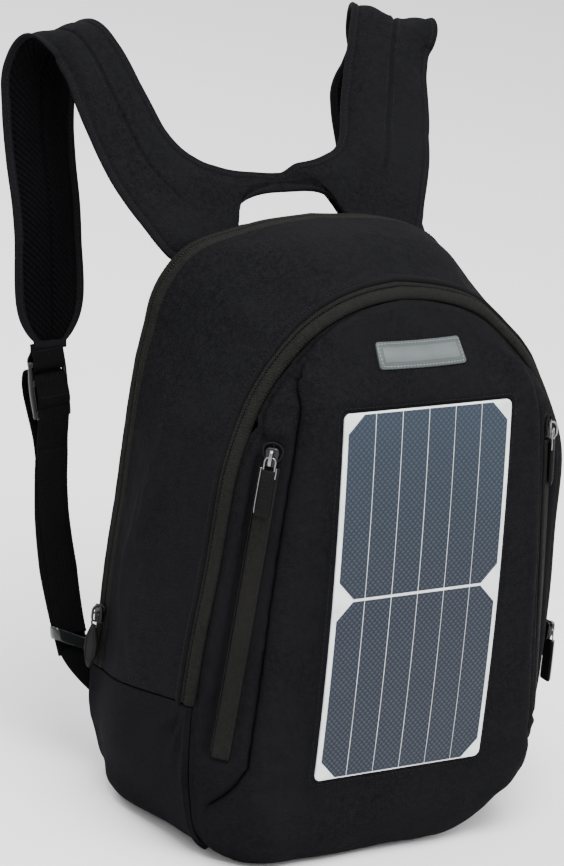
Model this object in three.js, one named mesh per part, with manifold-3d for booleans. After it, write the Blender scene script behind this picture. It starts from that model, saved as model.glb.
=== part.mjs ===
// Solar day pack: a soft daypack with a framed photovoltaic laminate on its
// front pocket, a one-piece yoke that carries both shoulder straps, and
// zipped main, front and side compartments.
//
// Frame: millimetres, +X to the right seen from the solar face, -Y the solar
// face, +Y the wearer's back, +Z up, origin on the floor under the middle.
import * as THREE from 'three';
import { mergeVertices } from 'three/addons/utils/BufferGeometryUtils.js';
import Module from 'manifold-3d';

// ---------------------------------------------------------------- dimensions
const FLOOR = 10;                 // the floor lies this far under the outlines' zero
const GAP = 0.35;                 // clearance between pieces that touch
const WALL = 3.0;                 // padded cloth wall
const LEAN = Math.tan(THREE.MathUtils.degToRad(4)); // front face leans back
const FACE_Y = -92.3;             // fabric face at FACE_Z
const FACE_Z = 184;
const BACK_Y = 88;                // outer face of the back panel
const ZIP_Y = 69;                 // main zip line
const SEAM_BACK_Z = 78;           // base seam height at the back
const SEAM_FRONT_Z = 103;         // base seam height at the piping
const FOLD_Z = 47;                // front flap folds here
const TOP_SPLIT_Z = 300;          // side panels meet the top panel
const PANEL_W = 138;              // solar laminate
const PANEL_H = 258;
const CELL = 125;                 // pseudo-square cell
const CELL_CUT = 16;              // corner chamfer of a cell
const PATCH_W = 71;
const PATCH_H = 18;
const PATCH_Z = 345, PATCH_Y = -70.35, PATCH_LEAN = 0.6641;   // on the sloping cloth above the panel
const PIPE_R = 2.0;               // piping round the front compartment
const ZIP_BAND = 12.4;            // covered zip band next to the piping
const SIDE_ZIP_TOP = [-112.5, -72, 292];
const SIDE_ZIP_LOW = [-131, -82, 71];
const YOKE_TILT = THREE.MathUtils.degToRad(42); // from vertical, backwards
const YOKE_ORIGIN = [100, 389];   // y, z of the yoke's in-plane zero
const YOKE_T = 8;
const STRAP_T = 12;               // shoulder pad
const STRAP_W = 64;
const WEB_W = 25;                 // webbing
const WEB_T = 1.5;
const LOCK_POS = [-155, 144.5, 260]; // ladder lock centre, left side
const ANCHOR_POS = [-138, 97.5, 80];

// half outlines of the bag, [half width, height], from the bottom to the crown;
// heights count from FLOOR above the floor
const T_BACK = [[0, -12], [55, -12], [92, -12], [118, -3], [131, 28], [136, 75], [135, 130], [131, 200], [130, 245], [127, 305], [118, 345], [102, 370], [80, 382], [45, 392], [0, 396]];
const T_MID = [[0, -12], [60, -12], [102, -12], [130, -1], [145, 34], [150, 90], [149, 150], [145, 210], [139, 262], [128, 305], [112, 340], [96, 361], [78, 378], [53, 391], [25, 398], [0, 400]];
const T_PIPE = [[0, -12], [58, -12], [99, -12], [128, 0], [142, 36], [148, 90], [147, 140], [142, 200], [138, 262], [127, 296], [112, 322], [90, 346], [72, 361], [48, 374], [24, 381], [0, 384]];
const T_BAND = [[0, -12], [57, -12], [98, -12], [127, 1], [140, 36], [146, 90], [145, 140], [140, 200], [135, 262], [123, 295], [108, 320], [87, 342], [69, 356], [46, 367], [23, 373], [0, 375]];
const T_SEAM = [[0, -10], [56, -10], [92, -9.5], [113, 4], [119, 38], [118, 69], [114, 126], [110, 200], [102, 286], [99, 310], [93, 332], [83, 341], [68, 353], [46, 363], [23, 369], [0, 371]];
const T_FACE = [[0, 0], [52, 0], [88, 0.5], [106, 14], [111, 44], [110, 72], [106, 126], [102, 200], [96, 280], [92, 298], [85, 311], [70, 320], [46, 326], [23, 329], [0, 330]];

// ---------------------------------------------------------------- helpers
const wasm = await Module();
wasm.setup();

const smooth = (t) => { const c = Math.min(1, Math.max(0, t)); return c * c * (3 - 2 * c); };
const lerpTable = (table, z) => {
  if (z <= table[0][0]) return table[0][1];
  for (let i = 1; i < table.length; i++) {
    if (z <= table[i][0]) {
      const t = (z - table[i - 1][0]) / (table[i][0] - table[i - 1][0]);
      return table[i - 1][1] + t * (table[i][1] - table[i - 1][1]);
    }
  }
  return table[table.length - 1][1];
};
const pipeY = (z) => -52 + 22 * smooth((z - 240) / 144);
const bandY = (z) => pipeY(z) - ZIP_BAND;
const faceY = (z) => FACE_Y + (z - FACE_Z) * LEAN;
const SEAM_Y = [[-10, -84], [8, -94], [45, -98.5], [69, -97.5], [126, -93.5], [200, -88.4], [286, -82], [307, -78.5], [325, -70], [340, -60], [352, -54], [371, -50]];
const seamY = (z) => lerpTable(SEAM_Y, z);

// A closed body from positions and triangles, turned so its faces point out.
function body(positions, index) {
  let volume = 0;
  const p = (i) => [positions[3 * i], positions[3 * i + 1], positions[3 * i + 2]];
  for (let i = 0; i < index.length; i += 3) {
    const [a, b, c] = [p(index[i]), p(index[i + 1]), p(index[i + 2])];
    volume += a[0] * (b[1] * c[2] - b[2] * c[1]) - a[1] * (b[0] * c[2] - b[2] * c[0]) + a[2] * (b[0] * c[1] - b[1] * c[0]);
  }
  if (volume < 0) for (let i = 0; i < index.length; i += 3) [index[i + 1], index[i + 2]] = [index[i + 2], index[i + 1]];
  const geometry = new THREE.BufferGeometry();
  geometry.setAttribute('position', new THREE.Float32BufferAttribute(positions, 3));
  geometry.setIndex(index);
  return geometry;
}

// Loft through closed rings of equal count, capped at both ends.
function loft(rings) {
  const n = rings[0].length;
  const positions = [];
  const index = [];
  for (const ring of rings) for (const q of ring) positions.push(...q);
  for (let r = 0; r + 1 < rings.length; r++) {
    for (let i = 0; i < n; i++) {
      const a = r * n + i, b = r * n + (i + 1) % n;
      index.push(a, b, b + n, a, b + n, a + n);
    }
  }
  const cap = (r, flip) => {
    const c = [0, 0, 0];
    for (const q of rings[r]) for (let k = 0; k < 3; k++) c[k] += q[k] / n;
    const centre = positions.length / 3;
    positions.push(...c);
    for (let i = 0; i < n; i++) {
      const a = r * n + i, b = r * n + (i + 1) % n;
      if (flip) index.push(b, a, centre); else index.push(a, b, centre);
    }
  };
  cap(0, true);
  cap(rings.length - 1, false);
  return body(positions, index);
}

const HALF = 20;                  // steps along half an outline
function halfOutline(table) {
  const curve = new THREE.CatmullRomCurve3(table.map(([w, z]) => new THREE.Vector3(w, z, 0)), false, 'centripetal');
  curve.arcLengthDivisions = 600;
  return curve.getSpacedPoints(HALF).map((q) => [Math.max(0, q.x), q.y]);
}
function fullOutline(table, inset = 0) {
  const half = halfOutline(table);
  const loop = [...half, ...half.slice(1, -1).reverse().map(([w, z]) => [-w, z])];
  if (!inset) return loop;
  return loop.map(([x, z], i) => {
    const a = loop[(i + loop.length - 1) % loop.length], b = loop[(i + 1) % loop.length];
    const dx = b[0] - a[0], dz = b[1] - a[1], l = Math.hypot(dx, dz);
    return [x - (dz / l) * inset, z + (dx / l) * inset];
  });
}
const ringAt = (table, yOf, inset = 0) => fullOutline(table, inset).map(([x, z]) => [x, typeof yOf === 'number' ? yOf : yOf(z), z]);

function toSolid(geometry) {
  const g = geometry.clone();
  for (const name of Object.keys(g.attributes)) if (name !== 'position') g.deleteAttribute(name);
  const m = mergeVertices(g, 1e-4);
  return new wasm.Manifold(new wasm.Mesh({
    numProp: 3,
    vertProperties: new Float32Array(m.attributes.position.array),
    triVerts: new Uint32Array(m.index.array),
  }));
}
function toGeometry(solid) {
  const mesh = solid.getMesh();
  const geometry = new THREE.BufferGeometry();
  geometry.setAttribute('position', new THREE.Float32BufferAttribute(mesh.vertProperties, 3));
  geometry.setIndex(Array.from(mesh.triVerts));
  return geometry;
}
// The largest of a solid's separate bodies, so no stray sliver is kept.
function largest(solid) {
  const parts = solid.decompose();
  parts.sort((a, b) => b.volume() - a.volume());
  return parts[0];
}

function shapeOf(points, holes = []) {
  const shape = new THREE.Shape(points.map(([a, b]) => new THREE.Vector2(a, b)));
  for (const hole of holes) shape.holes.push(new THREE.Path(hole.map(([a, b]) => new THREE.Vector2(a, b))));
  return shape;
}
// (y, z) outline pushed along X from x0 to x1
function alongX(points, x0, x1, holes = []) {
  const g = new THREE.ExtrudeGeometry(shapeOf(points, holes), { depth: x1 - x0, bevelEnabled: false });
  g.applyMatrix4(new THREE.Matrix4().set(0, 0, 1, x0, 1, 0, 0, 0, 0, 1, 0, 0, 0, 0, 0, 1));
  return g;
}
// (x, z) outline pushed along Y from y0 to y1
function alongY(points, y0, y1, holes = []) {
  const g = new THREE.ExtrudeGeometry(shapeOf(points, holes), { depth: y1 - y0, bevelEnabled: false });
  g.rotateX(Math.PI / 2);
  g.translate(0, y1, 0);
  return g;
}
function box(x0, x1, y0, y1, z0, z1) {
  const g = new THREE.BoxGeometry(x1 - x0, y1 - y0, z1 - z0);
  g.translate((x0 + x1) / 2, (y0 + y1) / 2, (z0 + z1) / 2);
  return g;
}
function roundedRect(w, h, r, steps = 3) {
  const out = [];
  for (const [cx, cy, a0] of [[w / 2 - r, h / 2 - r, 0], [-w / 2 + r, h / 2 - r, 90], [-w / 2 + r, -h / 2 + r, 180], [w / 2 - r, -h / 2 + r, 270]]) {
    for (let i = 0; i <= steps; i++) {
      const a = THREE.MathUtils.degToRad(a0 + (90 * i) / steps);
      out.push([cx + r * Math.cos(a), cy + r * Math.sin(a)]);
    }
  }
  return out;
}
// The same piece on the other side of the bag.
function mirrored(geometry) {
  const g = geometry.index ? geometry.clone() : mergeVertices(geometry.clone());
  const p = g.attributes.position;
  for (let i = 0; i < p.count; i++) p.setX(i, -p.getX(i));
  return body(Array.from(p.array), Array.from(g.index.array));
}

// ---------------------------------------------------------------- materials
const finish = (color, roughness, metalness = 0) => new THREE.MeshStandardMaterial({ color, roughness, metalness });
const shellCloth = finish(0x1b1d20, 0.85);
const liningCloth = finish(0x3a3c40, 0.9);
const meshCloth = finish(0x101113, 0.95);
const tapeCloth = finish(0x1d1e1a, 0.8);
const webCloth = finish(0x17181a, 0.8);
const metal = finish(0xa9adb2, 0.3, 1);
const plastic = finish(0x2a2c2f, 0.35);
const rubber = finish(0x3c3d3f, 0.6);
const board = finish(0x303236, 0.6);
const backsheet = finish(0xd9dde0, 0.45);
const cell = finish(0x141c2e, 0.25);
const film = finish(0x2b3547, 0.15);

const model = new THREE.Group();
model.position.z = FLOOR;
function add(name, geometry, material, parent = model) {
  const mesh = new THREE.Mesh(geometry, material);
  mesh.name = name;
  parent.add(mesh);
  return mesh;
}

// ---------------------------------------------------------------- bag shell
const rings = (inset) => [
  ringAt(T_BACK, BACK_Y - inset, inset + 5),
  ringAt(T_BACK, BACK_Y - 6 - inset * 0.6, inset),
  ringAt(T_BACK, ZIP_Y - 3, inset - 1.5),
  ringAt(T_MID, 20, inset),
  ringAt(T_PIPE, (z) => pipeY(z), inset),
  ringAt(T_BAND, (z) => bandY(z) + inset * 0.3, inset),
  ringAt(T_SEAM, (z) => seamY(z) + inset * 0.7, inset),
  ringAt(T_FACE, (z) => faceY(z) + inset, inset * 0.5),
];
// the floor trims the sagging bottom flat
const outer = toSolid(loft(rings(0))).intersect(toSolid(box(-300, 300, -300, 300, -FLOOR, 600)));
const shell = outer.subtract(toSolid(loft(rings(WALL))));

// side-view boundary lines of the pockets
const pipeLine = (dy, z0, z1) => {
  const out = [];
  for (let i = 0; i <= 14; i++) { const z = z0 + ((z1 - z0) * i) / 14; out.push([pipeY(z) + dy, z]); }
  return out;
};
const WIDE = 300;
const prismX = (points) => toSolid(alongX(points, -WIDE, WIDE));
const FRONT_STEP = bandY(100) - 2;        // front edge of the base at the pocket
const baseZone = prismX([[-200, -40], [200, -40], [200, 61], [76.2, 61], [76.2, 75.6], [62, 78.2], [-50, 102], [FRONT_STEP + GAP, 103.5], [FRONT_STEP + GAP, FOLD_Z - 0.4], [-200, FOLD_Z - 0.4]]);
const bodyZone = prismX([[62, 78.7], [62, 450], ...pipeLine(0.6, 103, 450).reverse(), [-50, 102.5]]);
const zipBackZone = prismX([...pipeLine(0.2, 104, 450), ...pipeLine(-6, 104, 450).reverse()]);
const zipFrontZone = prismX([...pipeLine(-6.4, 104, 450), ...pipeLine(-ZIP_BAND + 0.2, 104, 450).reverse()]);
const flapZone = prismX([[-200, FOLD_Z], [FRONT_STEP, FOLD_Z], [FRONT_STEP, 103.9], ...pipeLine(-ZIP_BAND - 0.2, 104.3, 450), [-200, 450]]);
const mainZipRootZone = prismX([[62.4, 78.7], [ZIP_Y - 0.2, 77.5], [ZIP_Y - 0.2, 450], [62.4, 450]]);
const mainZipFlapZone = prismX([[ZIP_Y + 0.2, 77.5], [75.8, 76.2], [75.8, 450], [ZIP_Y + 0.2, 450]]);
const backZone = prismX([[76.2, 61.6], [76.2, 450], [200, 450], [200, 61.6]]);

add('base_panel', toGeometry(largest(shell.intersect(baseZone))), shellCloth);
const gusset = shell.intersect(bodyZone);
const above = toSolid(box(-WIDE, WIDE, -WIDE, WIDE, TOP_SPLIT_Z + 0.2, 500));
const leftLow = toSolid(box(-WIDE, 0, -WIDE, WIDE, -20, TOP_SPLIT_Z - 0.2));
const rightLow = toSolid(box(0, WIDE, -WIDE, WIDE, -20, TOP_SPLIT_Z - 0.2));
add('top_panel', toGeometry(largest(gusset.intersect(above))), shellCloth);
add('side_panel_left', toGeometry(largest(gusset.intersect(leftLow))), shellCloth);
add('side_panel_right', toGeometry(largest(gusset.intersect(rightLow))), shellCloth);
add('main_zip_front_tape', toGeometry(largest(shell.intersect(mainZipRootZone))), tapeCloth);
add('main_zip_back_tape', toGeometry(largest(shell.intersect(mainZipFlapZone))), tapeCloth);
add('front_zip_back_tape', toGeometry(largest(shell.intersect(zipBackZone))), tapeCloth);
add('front_zip_front_tape', toGeometry(largest(shell.intersect(zipFrontZone))), tapeCloth);
add('back_panel', toGeometry(largest(shell.intersect(backZone))), shellCloth);

// front panel: the seam outline below the shoulder, the full width above it
const seamHalf = halfOutline(T_SEAM).filter(([, z]) => z < 332);
const panelOutline = (grow) => {
  const side = [[0, -40], [95 + grow, -40], ...seamHalf.filter(([w]) => w > 96).map(([w, z]) => [w + grow, z]), [200, 338 - grow], [200, 450]];
  return [...side, ...side.slice(1).reverse().map(([x, z]) => [-x, z])];
};
const flapShell = shell.intersect(flapZone);
add('front_panel', toGeometry(largest(flapShell.intersect(toSolid(alongY(panelOutline(0), -200, 50))))), shellCloth);
const facets = flapShell.subtract(toSolid(alongY(panelOutline(GAP), -200, 50)));

// side pocket zips lie at the bottom of a straight channel in each facet
const zipTop = new THREE.Vector3(...SIDE_ZIP_TOP);
const zipLow = new THREE.Vector3(...SIDE_ZIP_LOW);
const zipLength = zipTop.distanceTo(zipLow);
function zipFrame(top, low, facing) {
  const up = new THREE.Vector3().subVectors(top, low).normalize();
  const out = facing.clone().addScaledVector(up, -facing.dot(up)).normalize();
  const across = new THREE.Vector3().crossVectors(out, up);
  return new THREE.Matrix4().makeBasis(across, out, up);   // x across, y out, z up
}
const facing = new THREE.Vector3(-0.72, -0.69, 0);
const sideFrame = zipFrame(zipTop, zipLow, facing);
const placed = (geometry, frame, origin) => { const g = geometry.clone(); g.applyMatrix4(frame); g.translate(origin.x, origin.y, origin.z); return g; };
const channel = toSolid(placed(box(-7.5, 7.5, -12, 30, -6, zipLength + 6), sideFrame, zipLow));
const facetLeft = largest(facets.intersect(toSolid(box(-WIDE, 0, -WIDE, WIDE, -20, 500)))).subtract(channel);
const facetLeftGeometry = toGeometry(largest(facetLeft));
add('side_pocket_left', facetLeftGeometry, shellCloth);
add('side_pocket_right', mirrored(facetLeftGeometry), shellCloth);
const sideTape = placed(box(-7.1, 7.1, -3.4, -2.0, -5.5, zipLength + 5.5), sideFrame, zipLow);
add('side_zip_tape_left', sideTape, tapeCloth);
add('side_zip_tape_right', mirrored(sideTape), tapeCloth);

// piping over the front compartment
const pipeHalf = fullOutline(T_PIPE, -(PIPE_R + 0.5));
const pipePath = [...pipeHalf.slice(HALF).filter(([x, z]) => x <= 0 && z > 106).reverse(), ...pipeHalf.slice(0, HALF).filter(([, z]) => z > 106).reverse()]
  .map(([x, z]) => new THREE.Vector3(x, pipeY(z), z));
const pipeCurve = new THREE.CatmullRomCurve3(pipePath, false, 'centripetal');
const pipeSection = shapeOf([...Array(7).keys()].map((i) => [PIPE_R * Math.cos((i * 2 * Math.PI) / 7), PIPE_R * Math.sin((i * 2 * Math.PI) / 7)]));
add('outer_piping', new THREE.ExtrudeGeometry(pipeSection, { steps: 46, extrudePath: pipeCurve, bevelEnabled: false }), shellCloth);

// ---------------------------------------------------------------- inside
const inset = (table, d) => fullOutline(table, d);
add('divider_panel', alongY(inset(T_BAND, 15), -49.5, -47.5), liningCloth);
add('organizer_pocket', alongY(roundedRect(200, 130, 8).map(([x, z]) => [x, z + 150]), -51.4, -50.2), meshCloth);
add('base_board', box(-92, 92, -40, 60, -5.8, -3.8), board);
const regulator = new THREE.Group();
regulator.position.set(-20, -60, 175);
add('charge_regulator', alongY(roundedRect(62, 42, 4), -7, 7), plastic, regulator);
model.add(regulator);
add('usb_socket', toGeometry(toSolid(box(14.4, 30.4, -64, -56, 171, 179)).subtract(toSolid(box(20, 31, -62, -58, 172, 178)))), metal).position.x = -2.6;

// ---------------------------------------------------------------- solar panel
const pv = new THREE.Group();
pv.position.set(0, FACE_Y - 0.5, FACE_Z);
pv.rotation.x = -Math.atan(LEAN);
model.add(pv);
add('solar_backsheet', alongY(roundedRect(PANEL_W, PANEL_H, 7), -1.2, 0), backsheet, pv);
const h = CELL / 2, c = CELL_CUT;
const cellOutline = [[h - c, -h], [h, -h + c], [h, h - c], [h - c, h], [-h + c, h], [-h, h - c], [-h, -h + c], [-h + c, -h]];
add('solar_cell_upper', alongY(cellOutline.map(([x, z]) => [x, z + h + 1.2]), -1.9, -1.55), cell, pv);
add('solar_cell_lower', alongY(cellOutline.map(([x, z]) => [x, z - h - 1.2]), -1.9, -1.55), cell, pv);
add('solar_cover_film', alongY(roundedRect(PANEL_W - 2, PANEL_H - 2, 6), -2.75, -2.25), film, pv);
add('solar_junction_box', alongY(roundedRect(60, 34, 4).map(([x, z]) => [x, z - 96]), 5.2, 17), plastic, pv);
add('panel_stiffener', alongY(roundedRect(162, 220, 10).map(([x, z]) => [x, z + 8]), 3.9, 4.9), board, pv);
const patch = new THREE.Group();
patch.position.set(0, PATCH_Y - 0.6, PATCH_Z);
patch.rotation.x = -PATCH_LEAN;
model.add(patch);
add('label_patch', alongY(roundedRect(PATCH_W, PATCH_H, 2.5), -1.8, 0), rubber, patch);

// ---------------------------------------------------------------- zip hardware
// Slider: x across the zip, y out of the cloth, z up the zip. The bow leaves a
// window that the pull's eye turns in.
const sliderProfile = [[0, -6.5], [3, -6.5], [3, -6], [7.5, -6], [7.5, 6], [3, 6], [3, 6.5], [0, 6.5]];
const sliderWindow = [[3, -4.2], [6.2, -4.2], [6.2, 4.2], [3, 4.2]];
function sliderGeometry() {
  const plate = toSolid(box(-4.6, 4.6, 0, 3, -6.5, 6.5));
  const bow = toSolid(alongX([[2, -6], [7.5, -6], [7.5, 6], [2, 6]], -1.2, 1.2)).subtract(toSolid(box(-2, 2, 3, 6.2, -4.2, 4.2)));
  return toGeometry(plate.add(bow));
}
function pullGeometry() {
  const frame = toSolid(box(-4, 4, 3.8, 5.4, -11, 0.8)).subtract(toSolid(box(-2.3, 2.3, 3, 6, -9.4, -0.8)));
  const tab = toSolid(alongY(roundedRect(10, 30, 2.5).map(([x, z]) => [x, z - 25]), 3.6, 5.6));
  return toGeometry(frame.add(tab));
}
const slider = sliderGeometry();
const pull = pullGeometry();
const PULL_AXIS = 4.6;
function addSlider(name, frame, origin) {
  add(name + '_slider', placed(slider, frame, origin), metal);
  add(name + '_pull', placed(pull, frame, origin), rubber);
}
const sideSliderAt = zipLow.clone().lerp(zipTop, 0.955);
const outDir = new THREE.Vector3().setFromMatrixColumn(sideFrame, 1);
sideSliderAt.addScaledVector(outDir, -1.2);
addSlider('side_zip_left', sideFrame, sideSliderAt);
add('side_zip_right_slider', mirrored(placed(slider, sideFrame, sideSliderAt)), metal);
add('side_zip_right_pull', mirrored(placed(pull, sideFrame, sideSliderAt)), rubber);

// main zip slider, closed end at the lower left
const mainLow = new THREE.Vector3(-139.6, ZIP_Y, 118);
const mainHigh = new THREE.Vector3(-133.2, ZIP_Y, 290);
addSlider('main_zip', zipFrame(mainHigh, mainLow, new THREE.Vector3(-1, 0, 0)), mainLow);
// front compartment slider, closed end at the lower right
const frontLow = new THREE.Vector3(149.6, -59.6, 122);
const frontHigh = new THREE.Vector3(146.0, -59.6, 200);
addSlider('front_zip', zipFrame(frontHigh, frontLow, new THREE.Vector3(1, 0, 0)), frontLow);

// ---------------------------------------------------------------- back panel
add('frame_sheet', alongY(inset(T_BACK, 13).filter(([, z]) => z > 66), 81.2, 82.8), board);
add('laptop_sleeve', alongY(roundedRect(206, 250, 14).map(([x, z]) => [x, z + 205]), 58, 61), liningCloth);
const padShape = (w, hh, r) => new THREE.ExtrudeGeometry(shapeOf(roundedRect(w, hh, r, 4)), { depth: 5, bevelEnabled: true, bevelThickness: 2.5, bevelSize: 2.5, bevelSegments: 1 });
function backPad(name, w, hh, x, z) {
  const g = padShape(w, hh, 16);
  g.rotateX(Math.PI / 2);
  g.translate(x, BACK_Y + GAP + 7.5, z);
  add(name, g, meshCloth);
}
backPad('back_pad_left', 82, 190, -52, 252);
backPad('back_pad_right', 82, 190, 52, 252);
backPad('lumbar_pad', 176, 62, 0, 111);

// ---------------------------------------------------------------- yoke
// In-plane coordinates: x across, v up the tilted plane.
const yokeHalf = [[47, -27], [104, -29], [115, -4], [129, 30], [135, 52.5], [69, 73.5], [61, 52], [46, 39], [24, 34.5], [0, 33.5]];
const yokeOutline = [...yokeHalf, ...yokeHalf.slice(0, -1).reverse().map(([x, v]) => [-x, v])];
const yokeInner = [[0, 15.5], [20, 14], [36, 8], [44, 0], [47, -8]];
const yokePlane = new THREE.Matrix4().makeBasis(
  new THREE.Vector3(1, 0, 0),
  new THREE.Vector3(0, Math.sin(YOKE_TILT), Math.cos(YOKE_TILT)),
  new THREE.Vector3(0, -Math.cos(YOKE_TILT), Math.sin(YOKE_TILT)),
);
const onYoke = (x, v, n = 0) => new THREE.Vector3(x, v, n).applyMatrix4(yokePlane).add(new THREE.Vector3(0, ...YOKE_ORIGIN));
const archOutline = [[-47, -27], ...yokeInner.slice(1).reverse().map(([x, v]) => [-x, v]), ...yokeInner, [47, -27], ...yokeHalf.slice(1), ...yokeHalf.slice(0, -1).reverse().map(([x, v]) => [-x, v]).slice(0, -1)];
const yokeSolid = new THREE.ExtrudeGeometry(shapeOf(archOutline), { depth: YOKE_T, bevelEnabled: false });
yokeSolid.translate(0, 0, -YOKE_T / 2);
yokeSolid.applyMatrix4(yokePlane);
yokeSolid.translate(0, ...YOKE_ORIGIN);
const clearOfBag = prismX([[-200, 0], [BACK_Y + 0.4, 0], [BACK_Y + 0.4, 396.5], [70, 401.5], [-200, 401.5]]);
add('yoke', toGeometry(largest(toSolid(yokeSolid).subtract(clearOfBag).subtract(prismX([[0, 0], [BACK_Y + 8.5, 0], [BACK_Y + 8.5, 352], [0, 352]])))), shellCloth);

// ---------------------------------------------------------------- straps
// Right-hand centre line from the yoke over the apex to the ladder lock.
const root = onYoke(101, 67.5);
const STRAP_LINE = [[root.x, root.y, root.z], [110, 162, 461], [120, 180, 478], [132, 197, 488], [142, 209, 484], [148, 213, 466], [150, 207, 440], [152, 193, 411], [153, 177, 380], [155, 159, 332], [155, 150.5, 296], [155, 148.6, 288]];
const STRAP_WIDTH = [[0, 66], [0.25, 64], [0.5, 60], [0.8, 56], [0.93, 50], [1, 36]];
function band(line, widthAt, thickness, steps, tiltAt) {
  const curve = new THREE.CatmullRomCurve3(line.map((q) => new THREE.Vector3(...q)), false, 'centripetal');
  const out = [];
  for (let i = 0; i <= steps; i++) {
    const t = i / steps;
    const p = curve.getPointAt(t), d = curve.getTangentAt(t);
    const across = new THREE.Vector3(1, 0, tiltAt(t));
    across.addScaledVector(d, -across.dot(d)).normalize();
    const up = new THREE.Vector3().crossVectors(across, d);
    const w = widthAt(t) / 2, th = thickness / 2, r = Math.min(th * 0.8, w * 0.3);
    const section = [[w, th - r], [w - r, th], [-w + r, th], [-w, th - r], [-w, -th + r], [-w + r, -th], [w - r, -th], [w, -th + r]];
    out.push(section.map(([a, b]) => p.clone().addScaledVector(across, a).addScaledVector(up, b).toArray()));
  }
  return loft(out);
}
const strap = band(STRAP_LINE, (t) => lerpTable(STRAP_WIDTH, t), STRAP_T, 26, (t) => -0.25 * Math.sin(Math.min(1, t * 2) * Math.PI));
add('strap_pad_right', strap, shellCloth);
add('strap_pad_left', mirrored(strap), shellCloth);

// Lower strap hardware is laid out along the webbing: x across, y away from
// the wearer's front, z up the webbing.
const lockPos = new THREE.Vector3(...LOCK_POS), anchorPos = new THREE.Vector3(...ANCHOR_POS);
const webUp = new THREE.Vector3().subVectors(lockPos, anchorPos);
const webRun = webUp.length();
webUp.normalize();
const webOut = new THREE.Vector3(0, 1, 0).addScaledVector(webUp, -webUp.y).normalize();
const webFrame = new THREE.Matrix4().makeBasis(new THREE.Vector3().crossVectors(webOut, webUp), webOut, webUp);
function pair(name, geometry, material, origin = lockPos) {
  const left = placed(geometry, webFrame, origin);
  add(name + '_left', left, material);
  add(name + '_right', mirrored(left), material);
}
const lockFrame = toSolid(alongY(roundedRect(37, 40, 5), -3, 3))
  .subtract(toSolid(box(-14, 14, -5, 5, 7.6, 16)))
  .subtract(toSolid(box(-14, 14, -5, 5, -13.5, 2.2)));
pair('ladder_lock', toGeometry(lockFrame), plastic);
// sewn loop that hangs the lock's top bar from the pad
pair('strap_tab', alongX([[-5.3, 13.6], [-5.3, 22], [-1.2, 24], [1.2, 24], [5.3, 22], [5.3, 13.6]], -12.5, 12.5, [[[-4.2, 14.8], [4.2, 14.8], [4.2, 21.6], [-4.2, 21.6]]]), webCloth);
// webbing from below, behind the frame, over the bar and down as a folded tail
const over = [[3.6, -46], [3.6, 4.4], [3.6, 9.6], [-3.6, 9.6], [-3.6, -30], [-5.1, -30], [-5.1, 10.4], [5.1, 10.4], [5.1, -46]];
pair('webbing_upper', alongX(over.filter((q, i) => i !== 1), -WEB_W / 2, WEB_W / 2), webCloth);
pair('webbing_lower', box(-WEB_W / 2, WEB_W / 2, 3.6, 5.1, -webRun, -50), webCloth);
const keeperSolid = toSolid(alongX(roundedRect(6.6, 15, 1.8).map(([y, z]) => [y + 4.35, z - webRun + 12]), -17, 17))
  .subtract(toSolid(box(-13, 13, 3.1, 5.6, -webRun, -webRun + 30)));
pair('keeper', toGeometry(keeperSolid), plastic);
// anchor patch sewn into the lower corner of the back panel
pair('anchor_tab', alongY([[-12.5, -webRun - 0.5], [12.5, -webRun - 0.5], [26, -webRun - 17], [-9, -webRun - 17]], 3.2, 5.4), webCloth);

export default model;
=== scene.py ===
import bpy
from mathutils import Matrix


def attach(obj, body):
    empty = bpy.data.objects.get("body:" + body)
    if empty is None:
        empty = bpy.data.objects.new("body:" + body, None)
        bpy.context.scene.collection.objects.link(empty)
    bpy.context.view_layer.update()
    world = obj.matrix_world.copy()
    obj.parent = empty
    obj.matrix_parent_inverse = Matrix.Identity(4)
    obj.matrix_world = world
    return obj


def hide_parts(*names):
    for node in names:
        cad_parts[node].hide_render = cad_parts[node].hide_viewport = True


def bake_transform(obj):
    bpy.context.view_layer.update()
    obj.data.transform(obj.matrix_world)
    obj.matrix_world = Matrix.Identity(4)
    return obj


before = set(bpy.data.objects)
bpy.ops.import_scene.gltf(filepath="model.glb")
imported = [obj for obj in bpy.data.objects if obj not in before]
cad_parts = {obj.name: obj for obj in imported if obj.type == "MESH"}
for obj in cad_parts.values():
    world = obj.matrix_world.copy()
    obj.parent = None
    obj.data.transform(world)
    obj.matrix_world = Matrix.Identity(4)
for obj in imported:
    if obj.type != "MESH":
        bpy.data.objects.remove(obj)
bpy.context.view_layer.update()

import bpy, bmesh, math
import numpy as np
from mathutils import Vector, Matrix

rng = np.random.default_rng(11)
MM = 0.001

# ------------------------------------------------------------------ camera
RIGHT = Vector((0.8271, -0.5489, 0.1213)).normalized()
BACK = Vector((-0.556, -0.768, 0.318))
BACK = (BACK - RIGHT * BACK.dot(RIGHT)).normalized()
UPV = BACK.cross(RIGHT)
DIST, PXM = 2.5, 1471.8
cam_data = bpy.data.cameras.new("view_camera")
cam_data.sensor_width = 36.0
cam_data.lens = PXM * DIST / 866.0 * 36.0
cam_data.clip_start, cam_data.clip_end = 0.1, 30.0
cam = bpy.data.objects.new("view_camera", cam_data)
bpy.context.scene.collection.objects.link(cam)
rot = Matrix((RIGHT, UPV, BACK)).transposed().to_4x4()
loc = Vector((0, -0.095, 0.194)) + BACK * DIST - RIGHT * (128.8 / PXM) + UPV * (156.8 / PXM)
cam.matrix_world = Matrix.Translation(loc) @ rot
bpy.context.scene.camera = cam

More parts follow.
